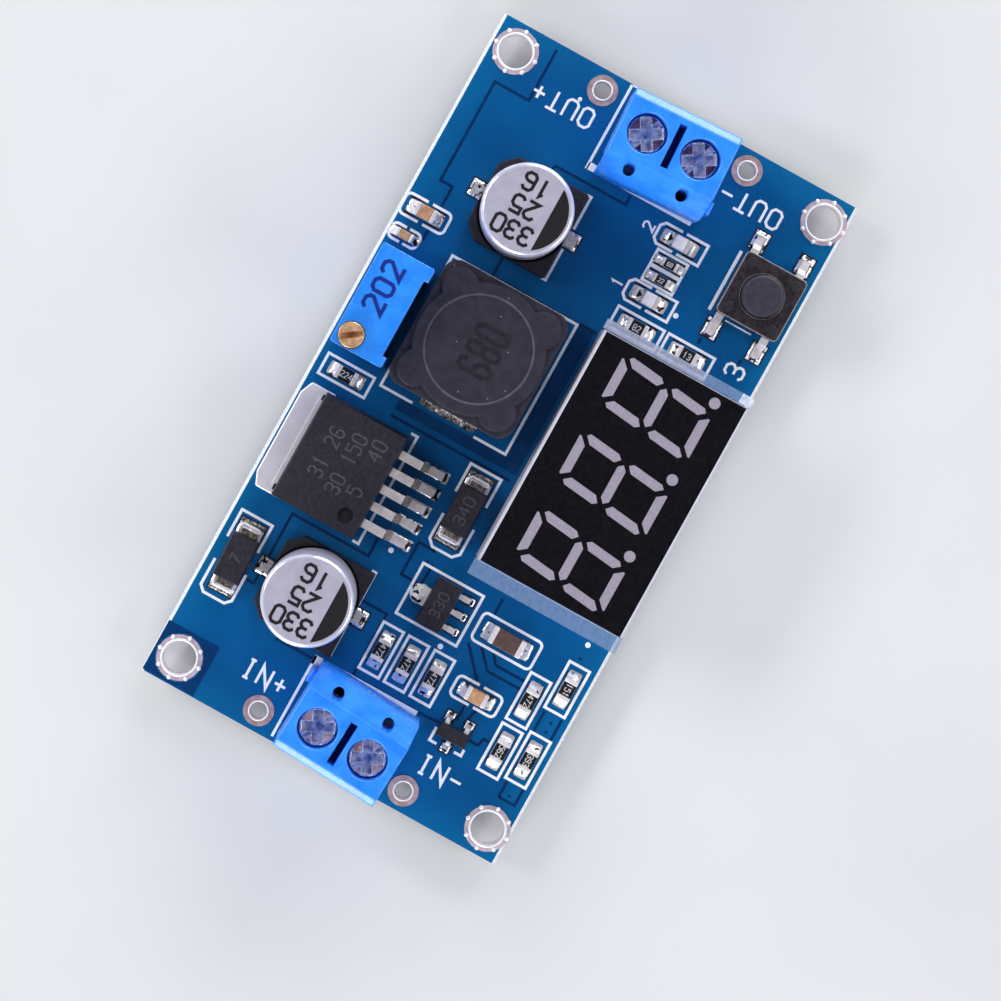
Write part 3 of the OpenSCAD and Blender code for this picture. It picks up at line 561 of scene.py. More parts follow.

# %% [markdown]
# Two larger areas have no copper: an L beside the inductor and a square round one mounting hole. The L's
# leg along the display lies where the display's shadow falls, and its dark blue there is also painted
# shade. The square is drawn as four quarters that leave the hole's ring free.

# %% Bare areas
# Bare laminate; along the display this dark blue also stands in for the display's shadow, as painted shade
beside_inductor = [(-2.15, 9.6), (-2.15, -2.6), (12.4, -2.6), (12.4, -1.1), (-1.1, -1.1), (-1.1, 9.6)]
prism(gaps, beside_inductor, BOARD_TOP, BARE_TOP, 1)
HOLE_X, HOLE_Y = -30.5, 15.5
for turn in range(4):
    quarter = arc((HOLE_X, HOLE_Y), 2.18, 90 * turn, 90 * turn + 90, 8)
    x = HOLE_X + (-2.4 if turn in (1, 2) else 2.5)
    y = HOLE_Y + (-2.7 if turn > 1 else 2.4)
    beside = [(HOLE_X, y), (x, y), (x, HOLE_Y)]
    prism(gaps, quarter + (beside[::-1] if turn % 2 else beside), BOARD_TOP, BARE_TOP, 1)
new_piece("copper_gaps", gaps, [gap_blue, bare_blue_and_painted_shade], "board")
print("bare areas drawn")

# %% [markdown]
# ## Legend
# The white legend is ink pressed through a screen, so every line has one width, mitred corners and a
# slightly raised, matt surface. The lettering is plotted with a round pen, so a small stroke alphabet
# does it: each glyph is a few polylines on a grid 4 wide and 6 high, written as pairs of digits. A
# font would give outlines of another look and thousands of faces.

# %% Stroke alphabet
GLYPHS = {
    "0": "10 01 05 16 36 45 41 30 10", "1": "15 26 20", "2": "05 16 36 45 44 00 40",
    "3": "05 16 36 45 44 33 13/33 42 41 30 10 01", "4": "36 02 42/36 30",
    "5": "46 06 04 34 43 41 30 10 01",
    "6": "45 36 16 05 01 10 30 41 42 33/33 03", "7": "06 46 10",
    "8": "13 04 05 16 36 45 44 33 13/13 02 01 10 30 41 42 33",
    "9": "01 10 30 41 45 36 16 05 04 13/13 43",
    "I": "20 26/10 30/16 36", "N": "00 06 40 46", "O": "10 01 05 16 36 45 41 30 10",
    "U": "06 01 10 30 41 46", "T": "06 46/26 20", "+": "03 43/21 25", "-": "03 43", " ": "",
}


def glyph_strokes(sign):
    """The polylines of one glyph, as points on its 4 by 6 grid."""
    strokes = [stroke.split() for stroke in GLYPHS[sign].split("/")]
    return [[(int(pair[0]), int(pair[1])) for pair in stroke] for stroke in strokes if stroke]


print(len(GLYPHS), "glyphs; a 4 has", len(glyph_strokes("4")), "strokes")

# %% [markdown]
# `write` plots a text with that alphabet, in any direction. The numbers on the cans, the inductor and
# the packages use it too, and only the height, the pen and the ink differ. Each further stroke of a
# glyph lies a hair higher, so that crossing strokes don't share a face.

# %% Writing
STROKE_STEP = 0.004


def write(mesh, text, middle, height, heading, pen, low, slim=0.62, gap=0.3, rise=0.03, paint_index=0):
    """Writes text round its middle, reading along the heading in degrees."""
    unit, lead = height / 6, height * slim
    advance = lead + height * gap
    start = -(advance * len(text) - height * gap) / 2
    turn = Matrix.Rotation(math.radians(heading), 2)
    for i, sign in enumerate(text):
        for k, points in enumerate(glyph_strokes(sign)):
            flat = [Vector((start + i * advance + x * lead / 4, (y - 3) * unit)) for x, y in points]
            placed = [Vector(middle) + turn @ point for point in flat]
            loop = placed[0] == placed[-1]
            if loop:
                placed.pop()
            ribbon(mesh, placed, pen, low, low + rise + k * STROKE_STEP, loop, paint_index)


print("write() ready")

# %% [markdown]
# ## Where the chips are
# One CAD node may hold many chips. `solids` walks along the edges from corner to corner to tell them
# apart, as Blender's own "separate by loose parts" would, but it leaves the node untouched.

# %% Separate solids
def solids(node):
    """The corner points of each separate solid of a CAD node, in millimetres."""
    mesh = solid_mesh(node)
    seen = set()
    found = []
    for first in mesh.verts:
        if first in seen:
            continue
        seen.add(first)
        group, waiting = [], [first]
        while waiting:
            vert = waiting.pop()
            group.append(vert.co.copy())
            fresh = [edge.other_vert(vert) for edge in vert.link_edges if edge.other_vert(vert) not in seen]
            seen.update(fresh)
            waiting += fresh
        found.append(group)
    mesh.free()
    return found


def box_of(points):
    """Lowest and highest corner of some points."""
    low = Vector([min(point[k] for point in points) for k in range(3)])
    high = Vector([max(point[k] for point in points) for k in range(3)])
    return low, high


print(len(solids("chip_end_caps")), "end caps")

# %% [markdown]
# The chip parts' outlines and pads follow from the parts themselves: each chip's place, direction and
# size are read off the solids, so that the legend can't drift away from them.

# %% Chips
cap_boxes = [box_of(points) for points in solids("chip_end_caps")]


def chip_facts(points):
    """Place, turn, length, width and height of a chip part, from its body and its two nearest end caps."""
    low, high = box_of(points)
    centre = (low + high) / 2
    near = sorted(cap_boxes, key=lambda cap: ((cap[0] + cap[1]) / 2 - centre).to_2d().length)[:2]
    upright = abs(near[0][0].y - near[1][0].y) > abs(near[0][0].x - near[1][0].x)
    spans = [max(cap[1][k] for cap in near) - min(cap[0][k] for cap in near) for k in range(3)]
    length, width = (spans[1], spans[0]) if upright else (spans[0], spans[1])
    return centre.to_2d(), 90 if upright else 0, length, width, high.z - BOARD_TOP


resistors = [chip_facts(points) for points in solids("resistor_bodies")]
ceramics = [chip_facts(points) for points in solids("ceramic_capacitors")]
indicators = [chip_facts(points) for points in solids("indicator_bases")]
print(len(resistors), "resistors,", len(ceramics), "capacitors,", len(indicators), "indicators")

# %% [markdown]
# ## Outlines
# They show the assembler where each part goes. Chip resistors get a plain box, ceramic capacitors two
# round brackets, and the indicators an arrow-shaped box with a break at its middle.

# %% Chip outlines
LINE = 0.25
INK_TOP = BOARD_TOP + 0.03
white_print = finish("white_print", (236, 240, 252), (247, 249, 255), 6, (0.55, 0.7), 0.004, 20)
legend = bmesh.new()


def line(path, width=LINE, closed=False):
    """One printed line of the legend."""
    ribbon(legend, path, width, BOARD_TOP, INK_TOP, closed)


def turned(centre, turn, points):
    """Points in a part's own frame, placed on the board."""
    spin = Matrix.Rotation(math.radians(turn), 2)
    return [Vector(centre) + spin @ Vector(point) for point in points]


def rectangle(half_length, half_width):
    """The four corners of a box round the origin."""
    return [(-half_length, -half_width), (half_length, -half_width),
            (half_length, half_width), (-half_length, half_width)]


for centre, turn, length, width, height in resistors:
    if length > 1.8:
        line(turned(centre, turn, rectangle(2.3, 1)), closed=True)
# The two small resistors share one box with a bar between them
line([(18.4, -6.9), (21.4, -6.9), (21.4, -3.9), (18.4, -3.9)], closed=True)
line([(19.9, -6.8), (19.9, -4)], 0.35)

# Half lengths and widths of the capacitors' outlines, and the gap at their middle, by chip length
CERAMIC_OUTLINES = {2.0: (2.22, 1.0, 0.22), 3.2: (2.95, 1.35, 0), 1.6: (1.38, 0.72, 0.16)}
for centre, turn, length, width, height in ceramics:
    half_length, half_width, gap = CERAMIC_OUTLINES[round(length, 1)]
    bend = 0.45
    for side in (-1, 1):
        end = arc((side * (half_length - bend), half_width - bend), bend, 90, 90 - 90 * side, 4)
        mirrored = [(x, -y) for x, y in reversed(end)]
        line(turned(centre, turn, [(side * gap, half_width), *end, *mirrored, (side * gap, -half_width)]))

for centre, turn, length, width, height in indicators:
    line(turned(centre, 0, [(-1, 0.2), (-1, 1.85), (-0.6, 2.25), (0.6, 2.25), (1, 1.85), (1, 0.2)]))
    line(turned(centre, 0, [(-1, -0.2), (-1, -2.35), (1, -2.35), (1, -0.2)]))
print("outlines round", len(resistors) + len(ceramics) + len(indicators), "chips")

# %% [markdown]
# The larger parts have brackets at their corners, broken where pads or leads cross them. Dots mark
# the first pins. They follow no rule that a formula could give, so their corners are listed.

# %% Other outlines
OUTLINES = [
    [(-14.1, 7.2), (-14.1, 6.6), (-3.35, 6.6), (-3.35, 7.25)],
    [(-8.1, 1.35), (-10.6, 1.35), (-11.15, 0.8), (-11.15, -1.15), (-10.6, -1.7), (-8.1, -1.7)],
    [(-5.9, 1.35), (-3.1, 1.35), (-3.1, -1.7), (-5.9, -1.7)],
    [(-21.3, 17), (-23.9, 17), (-24.4, 16.5), (-24.4, 14.4), (-23.9, 13.9), (-21.3, 13.9)],
    [(-19.1, 17), (-16.4, 17), (-16.4, 13.95), (-19.1, 13.95)],
    [(-0.95, 8.45), (-0.95, 11.65), (12.1, 11.65), (12.1, -0.9), (-0.95, -0.9), (-0.95, 2.3)],
    [(14.2, 3.9), (14.2, 3.45), (17.3, 3.45)],
    [(19.3, 3.45), (22.5, 3.45), (22.5, 3.9)],
    [(-23.9, 4), (-20.8, 4)],
    [(-18.8, 4), (-15.6, 4), (-15.6, 4.4)],
    [(-24.86, -7.25), (-26.15, -7.25), (-26.15, -7.95)],
    [(-26.05, -9.65), (-26.05, -10.35), (-25.45, -10.35)],
    [(-32.6, 5.05), (-24.5, 5.05)],
    [(24.5, 5.1), (32.9, 5.1)],
]
for path in OUTLINES:
    line(path)
line([(-17.8, -5.3), (-12.8, -5.3), (-12.8, 0.75), (-17.8, 0.75)], closed=True)
# These straight lines are wider or finer than the others
OTHER_WIDTHS = (
    ([(-24.88, 5.17), (-24.88, -5.15)], 0.85), ([(24.85, 5.1), (24.85, -5.35)], 0.7),
    ([(18.9, -10.4), (24.8, -10.4)], 0.3), ([(18.75, -12.1), (18.75, -14.7)], 0.15),
    ([(32.9, 5.1), (32.9, -5.4)], 0.15),
)
for path, width in OTHER_WIDTHS:
    line(path, width)
for dot in ((-13.2, 3.8), (-18.5, -4.1), (-12.1, -15.4), (17, -8.1)):
    prism(legend, arc(dot, 0.25, 0, 350, 18), BOARD_TOP, INK_TOP)
print(len(OUTLINES) + len(OTHER_WIDTHS), "brackets and lines")

# %% [markdown]
# The words say only which terminal is the input and which the output, with plus and minus, and plain
# digits number the indicators and the switch.

# %% Words and digits
WORDS = (
    ("IN+", (-28.35, 8.1), -90, 0.6), ("IN-", (-28.25, -9.5), -90, 0.6),
    ("OUT+", (28.4, 9.6), 90, 0.62), ("OUT-", (28.6, -9.2), 90, 0.62), ("3", (15.2, -15), 0, 0.62),
)
for text, place, heading, slim in WORDS:
    write(legend, text, place, 1.7, heading, 0.24, BOARD_TOP, slim)
for text, x in (("1", 17.1), ("2", 22.75)):
    write(legend, text, (x, -2.2), 1, 0, 0.18, BOARD_TOP)
new_piece("legend", legend, [white_print], "board")
print("legend drawn with", len(WORDS) + 2, "words and digits")

# %% [markdown]
# ## Rings round the holes
# The mounting holes have tinned rings with eight stitching vias each, filled with solder. The four
# plain wire holes have a browner ring, as bare copper under thin tin. Both kinds share a solid, so a
# rule sorts their faces by how far out they lie.

# %% Rings
ring_tin = finish("ring_tin", (188, 168, 180), (214, 196, 206), 1.6, (0.3, 0.5), 0.004, 5, metal=0.2)
ring_copper = finish("ring_copper", (164, 134, 134), (198, 172, 172), 1.6, (0.3, 0.5), 0.004, 5, metal=0.2)


def ring_finish(face):
    """0 for the mounting holes' rings, 1 for the wire holes' rings."""
    centre = face.calc_center_median()
    return 0 if abs(centre.y) > 12 else 1


softened("pad_rings", [ring_tin, ring_copper], 0, choose=ring_finish)
print("rings finished")

# %% [markdown]
# Solder pulls itself into beads and domes, which are turned forms. `lathe` spins a profile about an
# upright axis. Blender's Screw modifier could do the same, but one mesh that holds all the beads is
# simpler to keep on one body.

# %% Turned forms
def lathe(mesh, centre, profile, steps=48, paint_index=0, closed=False):
    """Turns a profile of (radius, height) points about an upright axis."""
    rings = []
    for radius, z in profile:
        if radius < 1e-6:
            rings.append([mesh.verts.new((centre[0], centre[1], z))] * steps)
            continue
        turns = [2 * math.pi * i / steps for i in range(steps)]
        circle = [(centre[0] + radius * math.cos(a), centre[1] + radius * math.sin(a)) for a in turns]
        rings.append([mesh.verts.new((x, y, z)) for x, y in circle])
    pairs = list(zip(rings, rings[1:]))
    if closed:
        pairs.append((rings[-1], rings[0]))
    for low, high in pairs:
        for i in range(steps):
            j = (i + 1) % steps
            corners = list(dict.fromkeys((low[i], low[j], high[j], high[i])))
            mesh.faces.new(corners).material_index = paint_index


def bead(mesh, centre, radius, thick, z, up, paint_index=0):
    """A round bead of solder lying on a face."""
    turns = [math.radians(30 * i) for i in range(7)]
    profile = [(radius + thick * math.cos(a), z + up * thick * math.sin(a) * 0.8) for a in turns]
    profile += [(radius - thick, z - up * 0.02), (radius + thick, z - up * 0.02)]
    lathe(mesh, centre, profile, 48, paint_index, closed=True)


def dome(mesh, centre, radius, rise, z, up=1, steps=16, paint_index=0):
    """A small domed drop."""
    turns = [math.radians(18 * i) for i in range(5)]
    profile = [(radius * math.cos(a), z + up * rise * math.sin(a)) for a in turns]
    lathe(mesh, centre, [(0, z), *profile, (0, z + up * rise)], steps, paint_index)


print("lathe, bead and dome ready")

# %% [markdown]
# Each hole has a bright bead round it, and each stitching via a small dome, on both faces of the
# board. One profile serves them all.

# %% Ring beads
bright_solder_and_painted_glint = finish("bright_solder_and_painted_glint", (244, 240, 244), (255, 255, 255), 3, (0.15, 0.3), metal=0.1)
HOLES = [(x, y) for x in (-30.5, 30.5) for y in (-15.5, 15.5)]
WIRE_HOLES = [(x, y) for x in (-31.2, 31.2) for y in (7.15, -7.4)]
HOLE_RADIUS = 1.5
WIRE_HOLE_RADIUS = 0.775
VIA_CIRCLE = 1.93
ring_low, ring_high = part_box("pad_rings")
beads = bmesh.new()
for z, up in ((ring_high.z / MM, 1), (ring_low.z / MM, -1)):
    for hole in HOLES:
        bead(beads, hole, HOLE_RADIUS + 0.1, 0.1, z, up)
        for x, y in arc(hole, VIA_CIRCLE, 0, 315, 7):
            dome(beads, (x, y), 0.19, 0.1, z, up, 12)
    for hole in WIRE_HOLES:
        bead(beads, hole, WIRE_HOLE_RADIUS + 0.08, 0.07, z, up)
dome(beads, (29.56, 8.5), 0.2, 0.06, BOARD_TOP, 1, 12)
new_piece("ring_beads", beads, [bright_solder_and_painted_glint], "board", angle=60)
print("beads on both faces of", len(HOLES) + len(WIRE_HOLES), "holes")

# %% [markdown]
# ## Screw terminals
# The housings are moulded in bright blue polyamide, glossy on the flats and with rounded edges. The
# screws are zinc-plated steel. The contacts inside are tinned brass, and each screw pushes a steel
# leaf down onto the wire. Screws and leaves ride on their own bodies, so that they move in the poses.

# %% Terminal finishes
terminal_blue = finish("terminal_blue", (36, 128, 250), (52, 146, 255), 0.5, (0.22, 0.3), 0.002, 9, 0, 0.55)
zinc = finish("zinc", (136, 140, 166), (190, 186, 206), 1.2, (0.2, 0.34), 0.008, 3, metal=0.6)
# The rounded edges of the screw heads take this near-white zinc as a painted glint
screw_rim_painted_glint = finish("screw_rim_painted_glint", (246, 242, 246), (255, 255, 255), 2, (0.2, 0.34), metal=0.6)
# The cross recess is painted lighter and mottled up to white: painted glints and reflection
recess_painted_glints = finish("recess_painted_glints", (124, 132, 176), (255, 253, 255), 1.7, (0.16, 0.3), 0.02, 2.5, 0.1)
# The four lobes beside the cross get a painted warm highlight at the input end of the board and painted
# shade at the output end
LOBES = {
    "input": finish("painted_warm_highlight_zinc", (188, 134, 118), (255, 214, 194), 1.6, (0.25, 0.4), 0.008, 4, 0.1),
    "output": finish("painted_shade_zinc", (72, 44, 58), (132, 96, 118), 1.6, (0.25, 0.4), 0.008, 4, 0.2),
}
screw_top = top_of("input_plus_screw")


def screw_part(face):
    """0 for the flat of the head, 1 for the cross recess and its slot, 3 for the rest."""
    depth = screw_top - face.calc_center_median().z
    if depth < 0.01:
        return 0
    return 1 if depth < 0.8 and face.normal.z > 0.5 or depth < 0.15 else 3


print("screw heads lie at", round(screw_top, 2), "mm")

# %% [markdown]
# A Bevel as wide as these corners would fill the screw wells and tear the small corners round the wire
# entries. So the housing's edges are picked one by one: only outward corners, and none of the short
# ones at the entries' height.

# %% Screw terminals
ENTRY_LOW, ENTRY_HIGH = 2.5, 5.95


def outer_edge(edge):
    """True for an outward corner that a wide rounding would not tear."""
    middle_z = (edge.verts[0].co.z + edge.verts[1].co.z) / 2
    return edge.is_convex and (edge.calc_length() > 5 or not ENTRY_LOW < middle_z < ENTRY_HIGH)


for side in ("input", "output"):
    softened(side + "_terminal_housing", [terminal_blue], 0.16, segments=3, rounded=outer_edge)
    softened(side + "_terminal_contacts", [tin], 0.06)
    for pole in ("plus", "minus"):
        softened(f"{side}_{pole}_screw", [LOBES[side], recess_painted_glints, screw_rim_painted_glint, zinc], 0.07, angle=60,
                 choose=screw_part, edge_paint=2)
        softened(f"{side}_{pole}_guard", [zinc], 0.05)
print("two terminals")

# %% [markdown]
# ## Electrolytic capacitors
# The can is drawn aluminium with a clear lilac lacquer, rolled in near its foot. Its sloped rim is shinier
# than its top and is also painted lighter as a painted highlight, so it gets a finish of its own, picked by
# how far a face leans.

# %% Cans
black_moulding = finish("black_moulding", (34, 32, 40), (46, 43, 52), 3, (0.5, 0.62), 0.006, 18, 0, DULL)
aluminium = finish("aluminium", (180, 177, 197), (192, 189, 208), 0.8, (0.3, 0.4), 0.003, 12, metal=0.3)
# The rim's lighter colour is a painted highlight; its lower roughness is its own
can_rim_painted_highlight = finish("can_rim_painted_highlight", (206, 206, 228), (224, 224, 242), 0.8, (0.14, 0.22), metal=0.55)


def can_part(face):
    """1 for the can's rounded rim, 0 for its top and side."""
    return 1 if 0.05 < face.normal.z < 0.97 else 0


for side in ("input", "output"):
    softened(side + "_capacitor_base", [black_moulding], 0.1)
    softened(side + "_capacitor_can", [aluminium, can_rim_painted_highlight], 0, angle=40, choose=can_part)
    softened(side + "_capacitor_leads", [tin], 0.04)
print("cans reach", round(top_of("input_capacitor_can"), 2), "mm")

# %% [markdown]
# The top is printed black: a segment marks the minus side and three lines of numbers read across it.

# %% Can print
black_print = finish("black_print", (20, 18, 22), (32, 30, 34), 5, (0.45, 0.6), specular=DULL)
PRINT_RADIUS = 3.5
SEGMENT_AT = 1.9  # from the can's axis to the minus mark
chord = math.degrees(math.asin(SEGMENT_AT / PRINT_RADIUS))
can_print = bmesh.new()
for can in ("input_capacitor_can", "output_capacitor_can"):
    place = middle_of(can).to_2d()
    low = top_of(can) - SUNK
    prism(can_print, arc(place, PRINT_RADIUS, 180 + chord, 360 - chord, 24), low, low + 0.025)
    for i, text in enumerate(("330", "25", "16")):
        spot = place + Vector(((i - 1) * 2.15, 0.35))
        write(can_print, text, spot, 1.5, 90, 0.28, low, 0.62, 0.24, 0.025)
new_piece("can_print", can_print, [black_print], "board")
print("can tops printed")

# %% [markdown]
# ## Inductor
# A ferrite sleeve round a drum core, both ground and dull, with a copper winding between them. Its
# end strips are tinned. These solids keep their shape and only get softer edges.

# %% Inductor
ferrite = finish("ferrite", (38, 36, 48), (47, 45, 58), 1.2, (0.5, 0.66), 0.012, 7, specular=DULL)
copper_wire = finish("copper_wire", (120, 52, 22), (170, 84, 40), 4, (0.3, 0.5), 0.02, 6, metal=0.6)
softened("inductor_shield", [ferrite], 0.1, angle=40, segments=3)
softened("inductor_core", [ferrite], 0)
softened("inductor_winding", [copper_wire], 0)
softened("inductor_terminals", [tin], 0.08)
choke_middle = middle_of("inductor_core").to_2d()
choke_top = top_of("inductor_core")
print("inductor's middle at", [round(value, 2) for value in choke_middle])

# %% [markdown]
# The gap between sleeve and core is filled with grey resin that shows as a pale ring, turned here with
# `lathe`. The number is rubber-stamped, so its strokes are broad and soft, and a few specks of dust lie
# on top, each a tiny dome.

# %% Filler, stamp and dust
resin = finish("resin", (58, 56, 68), (78, 76, 90), 1.2, (0.35, 0.5), 0.01, 8)
stamp = finish("stamp", (22, 19, 27), (34, 31, 40), 2.5, (0.6, 0.75), specular=DULL)
dust = finish("dust", (110, 108, 122), (166, 162, 176), 6, (0.8, 0.95))
filler = bmesh.new()
ring_shape = [(4.64, -0.5), (4.76, -0.5), (4.8, -0.02), (4.74, 0.02), (4.66, 0.02), (4.6, -0.02)]
ring_shape = [(radius, choke_top + rise) for radius, rise in ring_shape]
lathe(filler, choke_middle, ring_shape, 96, closed=True)
new_piece("inductor_filler", filler, [resin], "board", angle=60)
marks = bmesh.new()
write(marks, "680", choke_middle + Vector((0, -0.45)), 2.9, 0, 0.4, choke_top - SUNK, 0.34, 0.2, 0.022)
new_piece("inductor_number", marks, [stamp], "board")
SPECKS = ((5.6, 7.7), (9.3, 5.4), (11, 5.6), (6.9, 3.4), (2.6, 3), (1.9, 5.5), (3.9, 2))
specks = bmesh.new()
dome(specks, (11.2, 11), 0.055, 0.03, choke_top - 0.36, 1, 7)  # this one lies in a corner's recess
for speck in SPECKS:
    dome(specks, speck, 0.055, 0.03, choke_top - SUNK, 1, 7)
new_piece("inductor_dust", specks, [dust], "board")
print("a number and", len(SPECKS) + 1, "specks of dust")

# %% [markdown]
# ## Moulded packages
# Epoxy packages are grey-black with a fine matt grain. Their leads are tinned copper, bent to a gull-wing.
# A lead's steep bend mirrors the dark around it, so faces that lean get a darker tin, a painted dark
# reflection: picking them by slope keeps the change right at the bend.

# %% Regulator
dimple_black = finish("dimple_black", (18, 16, 20), (28, 26, 31), 3, (0.6, 0.7), specular=DULL)
# Darker tin for leaning faces: a painted dark reflection
knee_painted_dark_reflection = finish("knee_painted_dark_reflection", (84, 76, 72), (172, 162, 152), 3, (0.2, 0.35), 0.01, 6, metal=0.5)
tab_tin = finish("tab_tin", (194, 190, 202), (210, 206, 216), 0.4, (0.35, 0.45), 0.002, 6)
regulator_top = top_of("regulator_body")


def dimple_floor(face):
    """1 for the floor of the moulded dimple, 0 for the rest of the regulator."""
    return 1 if face.normal.z > 0.9 and 0.1 < regulator_top - face.calc_center_median().z < 0.5 else 0


def knee(face):
    """1 for a face that leans, as at a lead's bend, 0 for any other."""
    return 1 if 0.15 < face.normal.z < 0.8 else 0


softened("regulator_body", [black_moulding, dimple_black], 0.1, choose=dimple_floor)
softened("regulator_leads", [tin, knee_painted_dark_reflection], 0.05, choose=knee)
# The tab's rounded edges take the near-white solder finish as a painted highlight
softened("regulator_tab", [tab_tin, bright_solder_and_painted_glint], 0.14, edge_paint=1)
print("regulator's top at", round(regulator_top, 2), "mm")

# %% [markdown]
# The diodes' flat leads stand in their solder, and there the top faces take the painted dark reflection.
# The other small packages show only the edge of their leads and keep plain tin.

# %% Small packages
def facing_up(face):
    """1 for a face that points up, 0 for any other."""
    return 1 if face.normal.z > 0.9 else 0


for part in ("rectifier", "input_diode", "logic_supply", "transistor"):
    softened(part + "_body", [black_moulding], 0.06)
    is_diode = part in ("rectifier", "input_diode")
    softened(part + "_leads", [tin, knee_painted_dark_reflection], 0.03, choose=facing_up if is_diode else None)
softened("controller_body", [black_moulding], 0.08)
softened("controller_leads", [tin], 0.02)
print("five small packages")

# %% [markdown]
# The metal tab has a pressed crease along the body, and two small dark notches where the mould's edge
# bit into it. They are thinner than a solid is worth, so they are laid on as a ribbon and two prisms.

# %% Tab crease
tab_low, tab_high = box_mm("regulator_tab")
crease = bmesh.new()
crease_ends = [(tab_low.x + 0.75, 15.8), (tab_high.x - 0.75, 15.8)]
ribbon(crease, crease_ends, 0.12, tab_high.z - 0.02, tab_high.z + 0.012)
for x in (tab_low.x + 0.45, tab_high.x - 1):
    notch = [(x, 15.42), (x + 0.55, 15.42), (x + 0.55, 15.6), (x, 15.6)]
    prism(crease, notch, tab_high.z - 0.02, tab_high.z + 0.006, 1)
new_piece("tab_crease", crease, [bright_solder_and_painted_glint, dimple_black], "board")
print("tab creased")

# %% [markdown]
# The laser print on the packages is barely lighter than the epoxy, and holds plain numbers here.

# %% Package print
grey_print_and_painted_highlight = finish("grey_print_and_painted_highlight", (68, 65, 75), (83, 80, 91), 5, (0.5, 0.6), specular=DULL)
faint = bmesh.new()
for text, x, y in (("31 26", -8.2, 12.9), ("30 150", -8.3, 10.9), ("5", -10, 9.1), ("40", -6, 9.1)):
    write(faint, text, (x, y), 1.3, 0, 0.16, regulator_top - SUNK, 0.5, 0.25, 0.02)
for part, text, height, pen in (
    ("rectifier", "340", 1, 0.12), ("input_diode", "7", 1, 0.12), ("logic_supply", "330", 0.9, 0.11),
):
    body = part + "_body"
    write(faint, text, middle_of(body).to_2d(), height, 0, pen, top_of(body) - SUNK, rise=0.02)
new_piece("package_print", faint, [grey_print_and_painted_highlight], "board")
print("prints on four packages")

# %% [markdown]
# ## Trimmer
# Its case is the same blue as the terminals, stamped in dark blue. The screw is brass, and it rides on
# the body "adjuster", which turns without end.

# %% Trimmer
trimmer_blue = finish("trimmer_blue", (34, 128, 238), (46, 144, 250), 0.6, (0.2, 0.3), 0.003, 9, 0, 0.8)
brass = finish("brass", (176, 124, 74), (236, 196, 158), 1.1, (0.2, 0.34), 0.008, 4, metal=0.45)
blue_print = finish("blue_print", (12, 34, 120), (20, 48, 140), 5, (0.45, 0.6), specular=DULL)
softened("trimmer_case", [trimmer_blue], 0.07, segments=3)
softened("trimmer_screw", [brass], 0.1)
trimmer_print = bmesh.new()
write(trimmer_print, "202", (6.6, 15.35), 1.8, 0, 0.33, top_of("trimmer_case") - SUNK, 0.62, 0.3, 0.025)
new_piece("trimmer_print", trimmer_print, [blue_print], "board")
print("trimmer at", [round(value, 1) for value in middle_of("trimmer_case")])

# %% [markdown]
# The pins below the board are straight wires that show nothing but tin. They need no copy: the solids stay
# as they are and only get a material.

# %% Pins
def paint(material, *nodes):
    """Gives CAD nodes that stay as they are a material."""
    for node in nodes:
        frame["nodes"][node].data.materials.clear()
        frame["nodes"][node].data.materials.append(material)


paint(tin, "trimmer_pins", "display_pins")
print("pins tinned")

# %% [markdown]
# ## Chip parts
# A chip resistor is a white ceramic block whose top carries a black glass.
# A ceramic capacitor is one solid block of tan ceramic, and the largest of them here is a browner one.
# Both have tinned end caps that the solder climbs up.

# %% Chip parts
glaze = finish("glaze", (16, 15, 17), (26, 24, 27), 4, (0.25, 0.4), 0.004, 12)
alumina = finish("alumina", (205, 203, 196), (226, 224, 218), 3, (0.55, 0.7))
tan_ceramic = finish("tan_ceramic", (180, 132, 96), (212, 164, 122), 2.5, (0.45, 0.6), 0.01, 9)
brown_ceramic = finish("brown_ceramic", (78, 58, 54), (100, 76, 70), 2.5, (0.4, 0.55), 0.01, 9)
value_print = finish("value_print", (196, 194, 198), (222, 220, 224), 5, (0.5, 0.6))


def large_capacitor(face):
    """1 for the large capacitor between the display and the small regulator, 0 for the others."""
    return 1 if abs(face.calc_center_median().x + 15.25) < 1 else 0


softened("resistor_bodies", [alumina, glaze], 0.03, choose=facing_up)
softened("ceramic_capacitors", [tan_ceramic, brown_ceramic], 0.08, choose=large_capacitor)
softened("chip_end_caps", [tin], 0.09)
print("chips finished")

# %% [markdown]
# The glass is printed with the resistor's value, small and pale. The numbers read along the chip, so
# `chip_facts` gives their direction as well.

# %% Values
VALUES = ("472", "472", "472", "562", "472", "393", "151", "224", "82", "13", "22", "68")
values = bmesh.new()
for text, (centre, turn, length, width, height) in zip(VALUES, resistors):
    low = BOARD_TOP + height - SUNK
    write(values, text, centre, 0.34 * width + 0.1, turn + 180, 0.075, low, 0.55, 0.22, 0.02)
new_piece("resistor_values", values, [value_print], "board")
print(len(VALUES), "values")

# %% [markdown]
# ## Solder
# The surface of a solder fillet is always hollow, because it is pulled up the part and out over the
# pad. A Boolean or a sculpt could not be repeated for sixty fillets, but a formula can: a grid of
# points gets its height from how far it lies from the part, and a second layer below closes it.

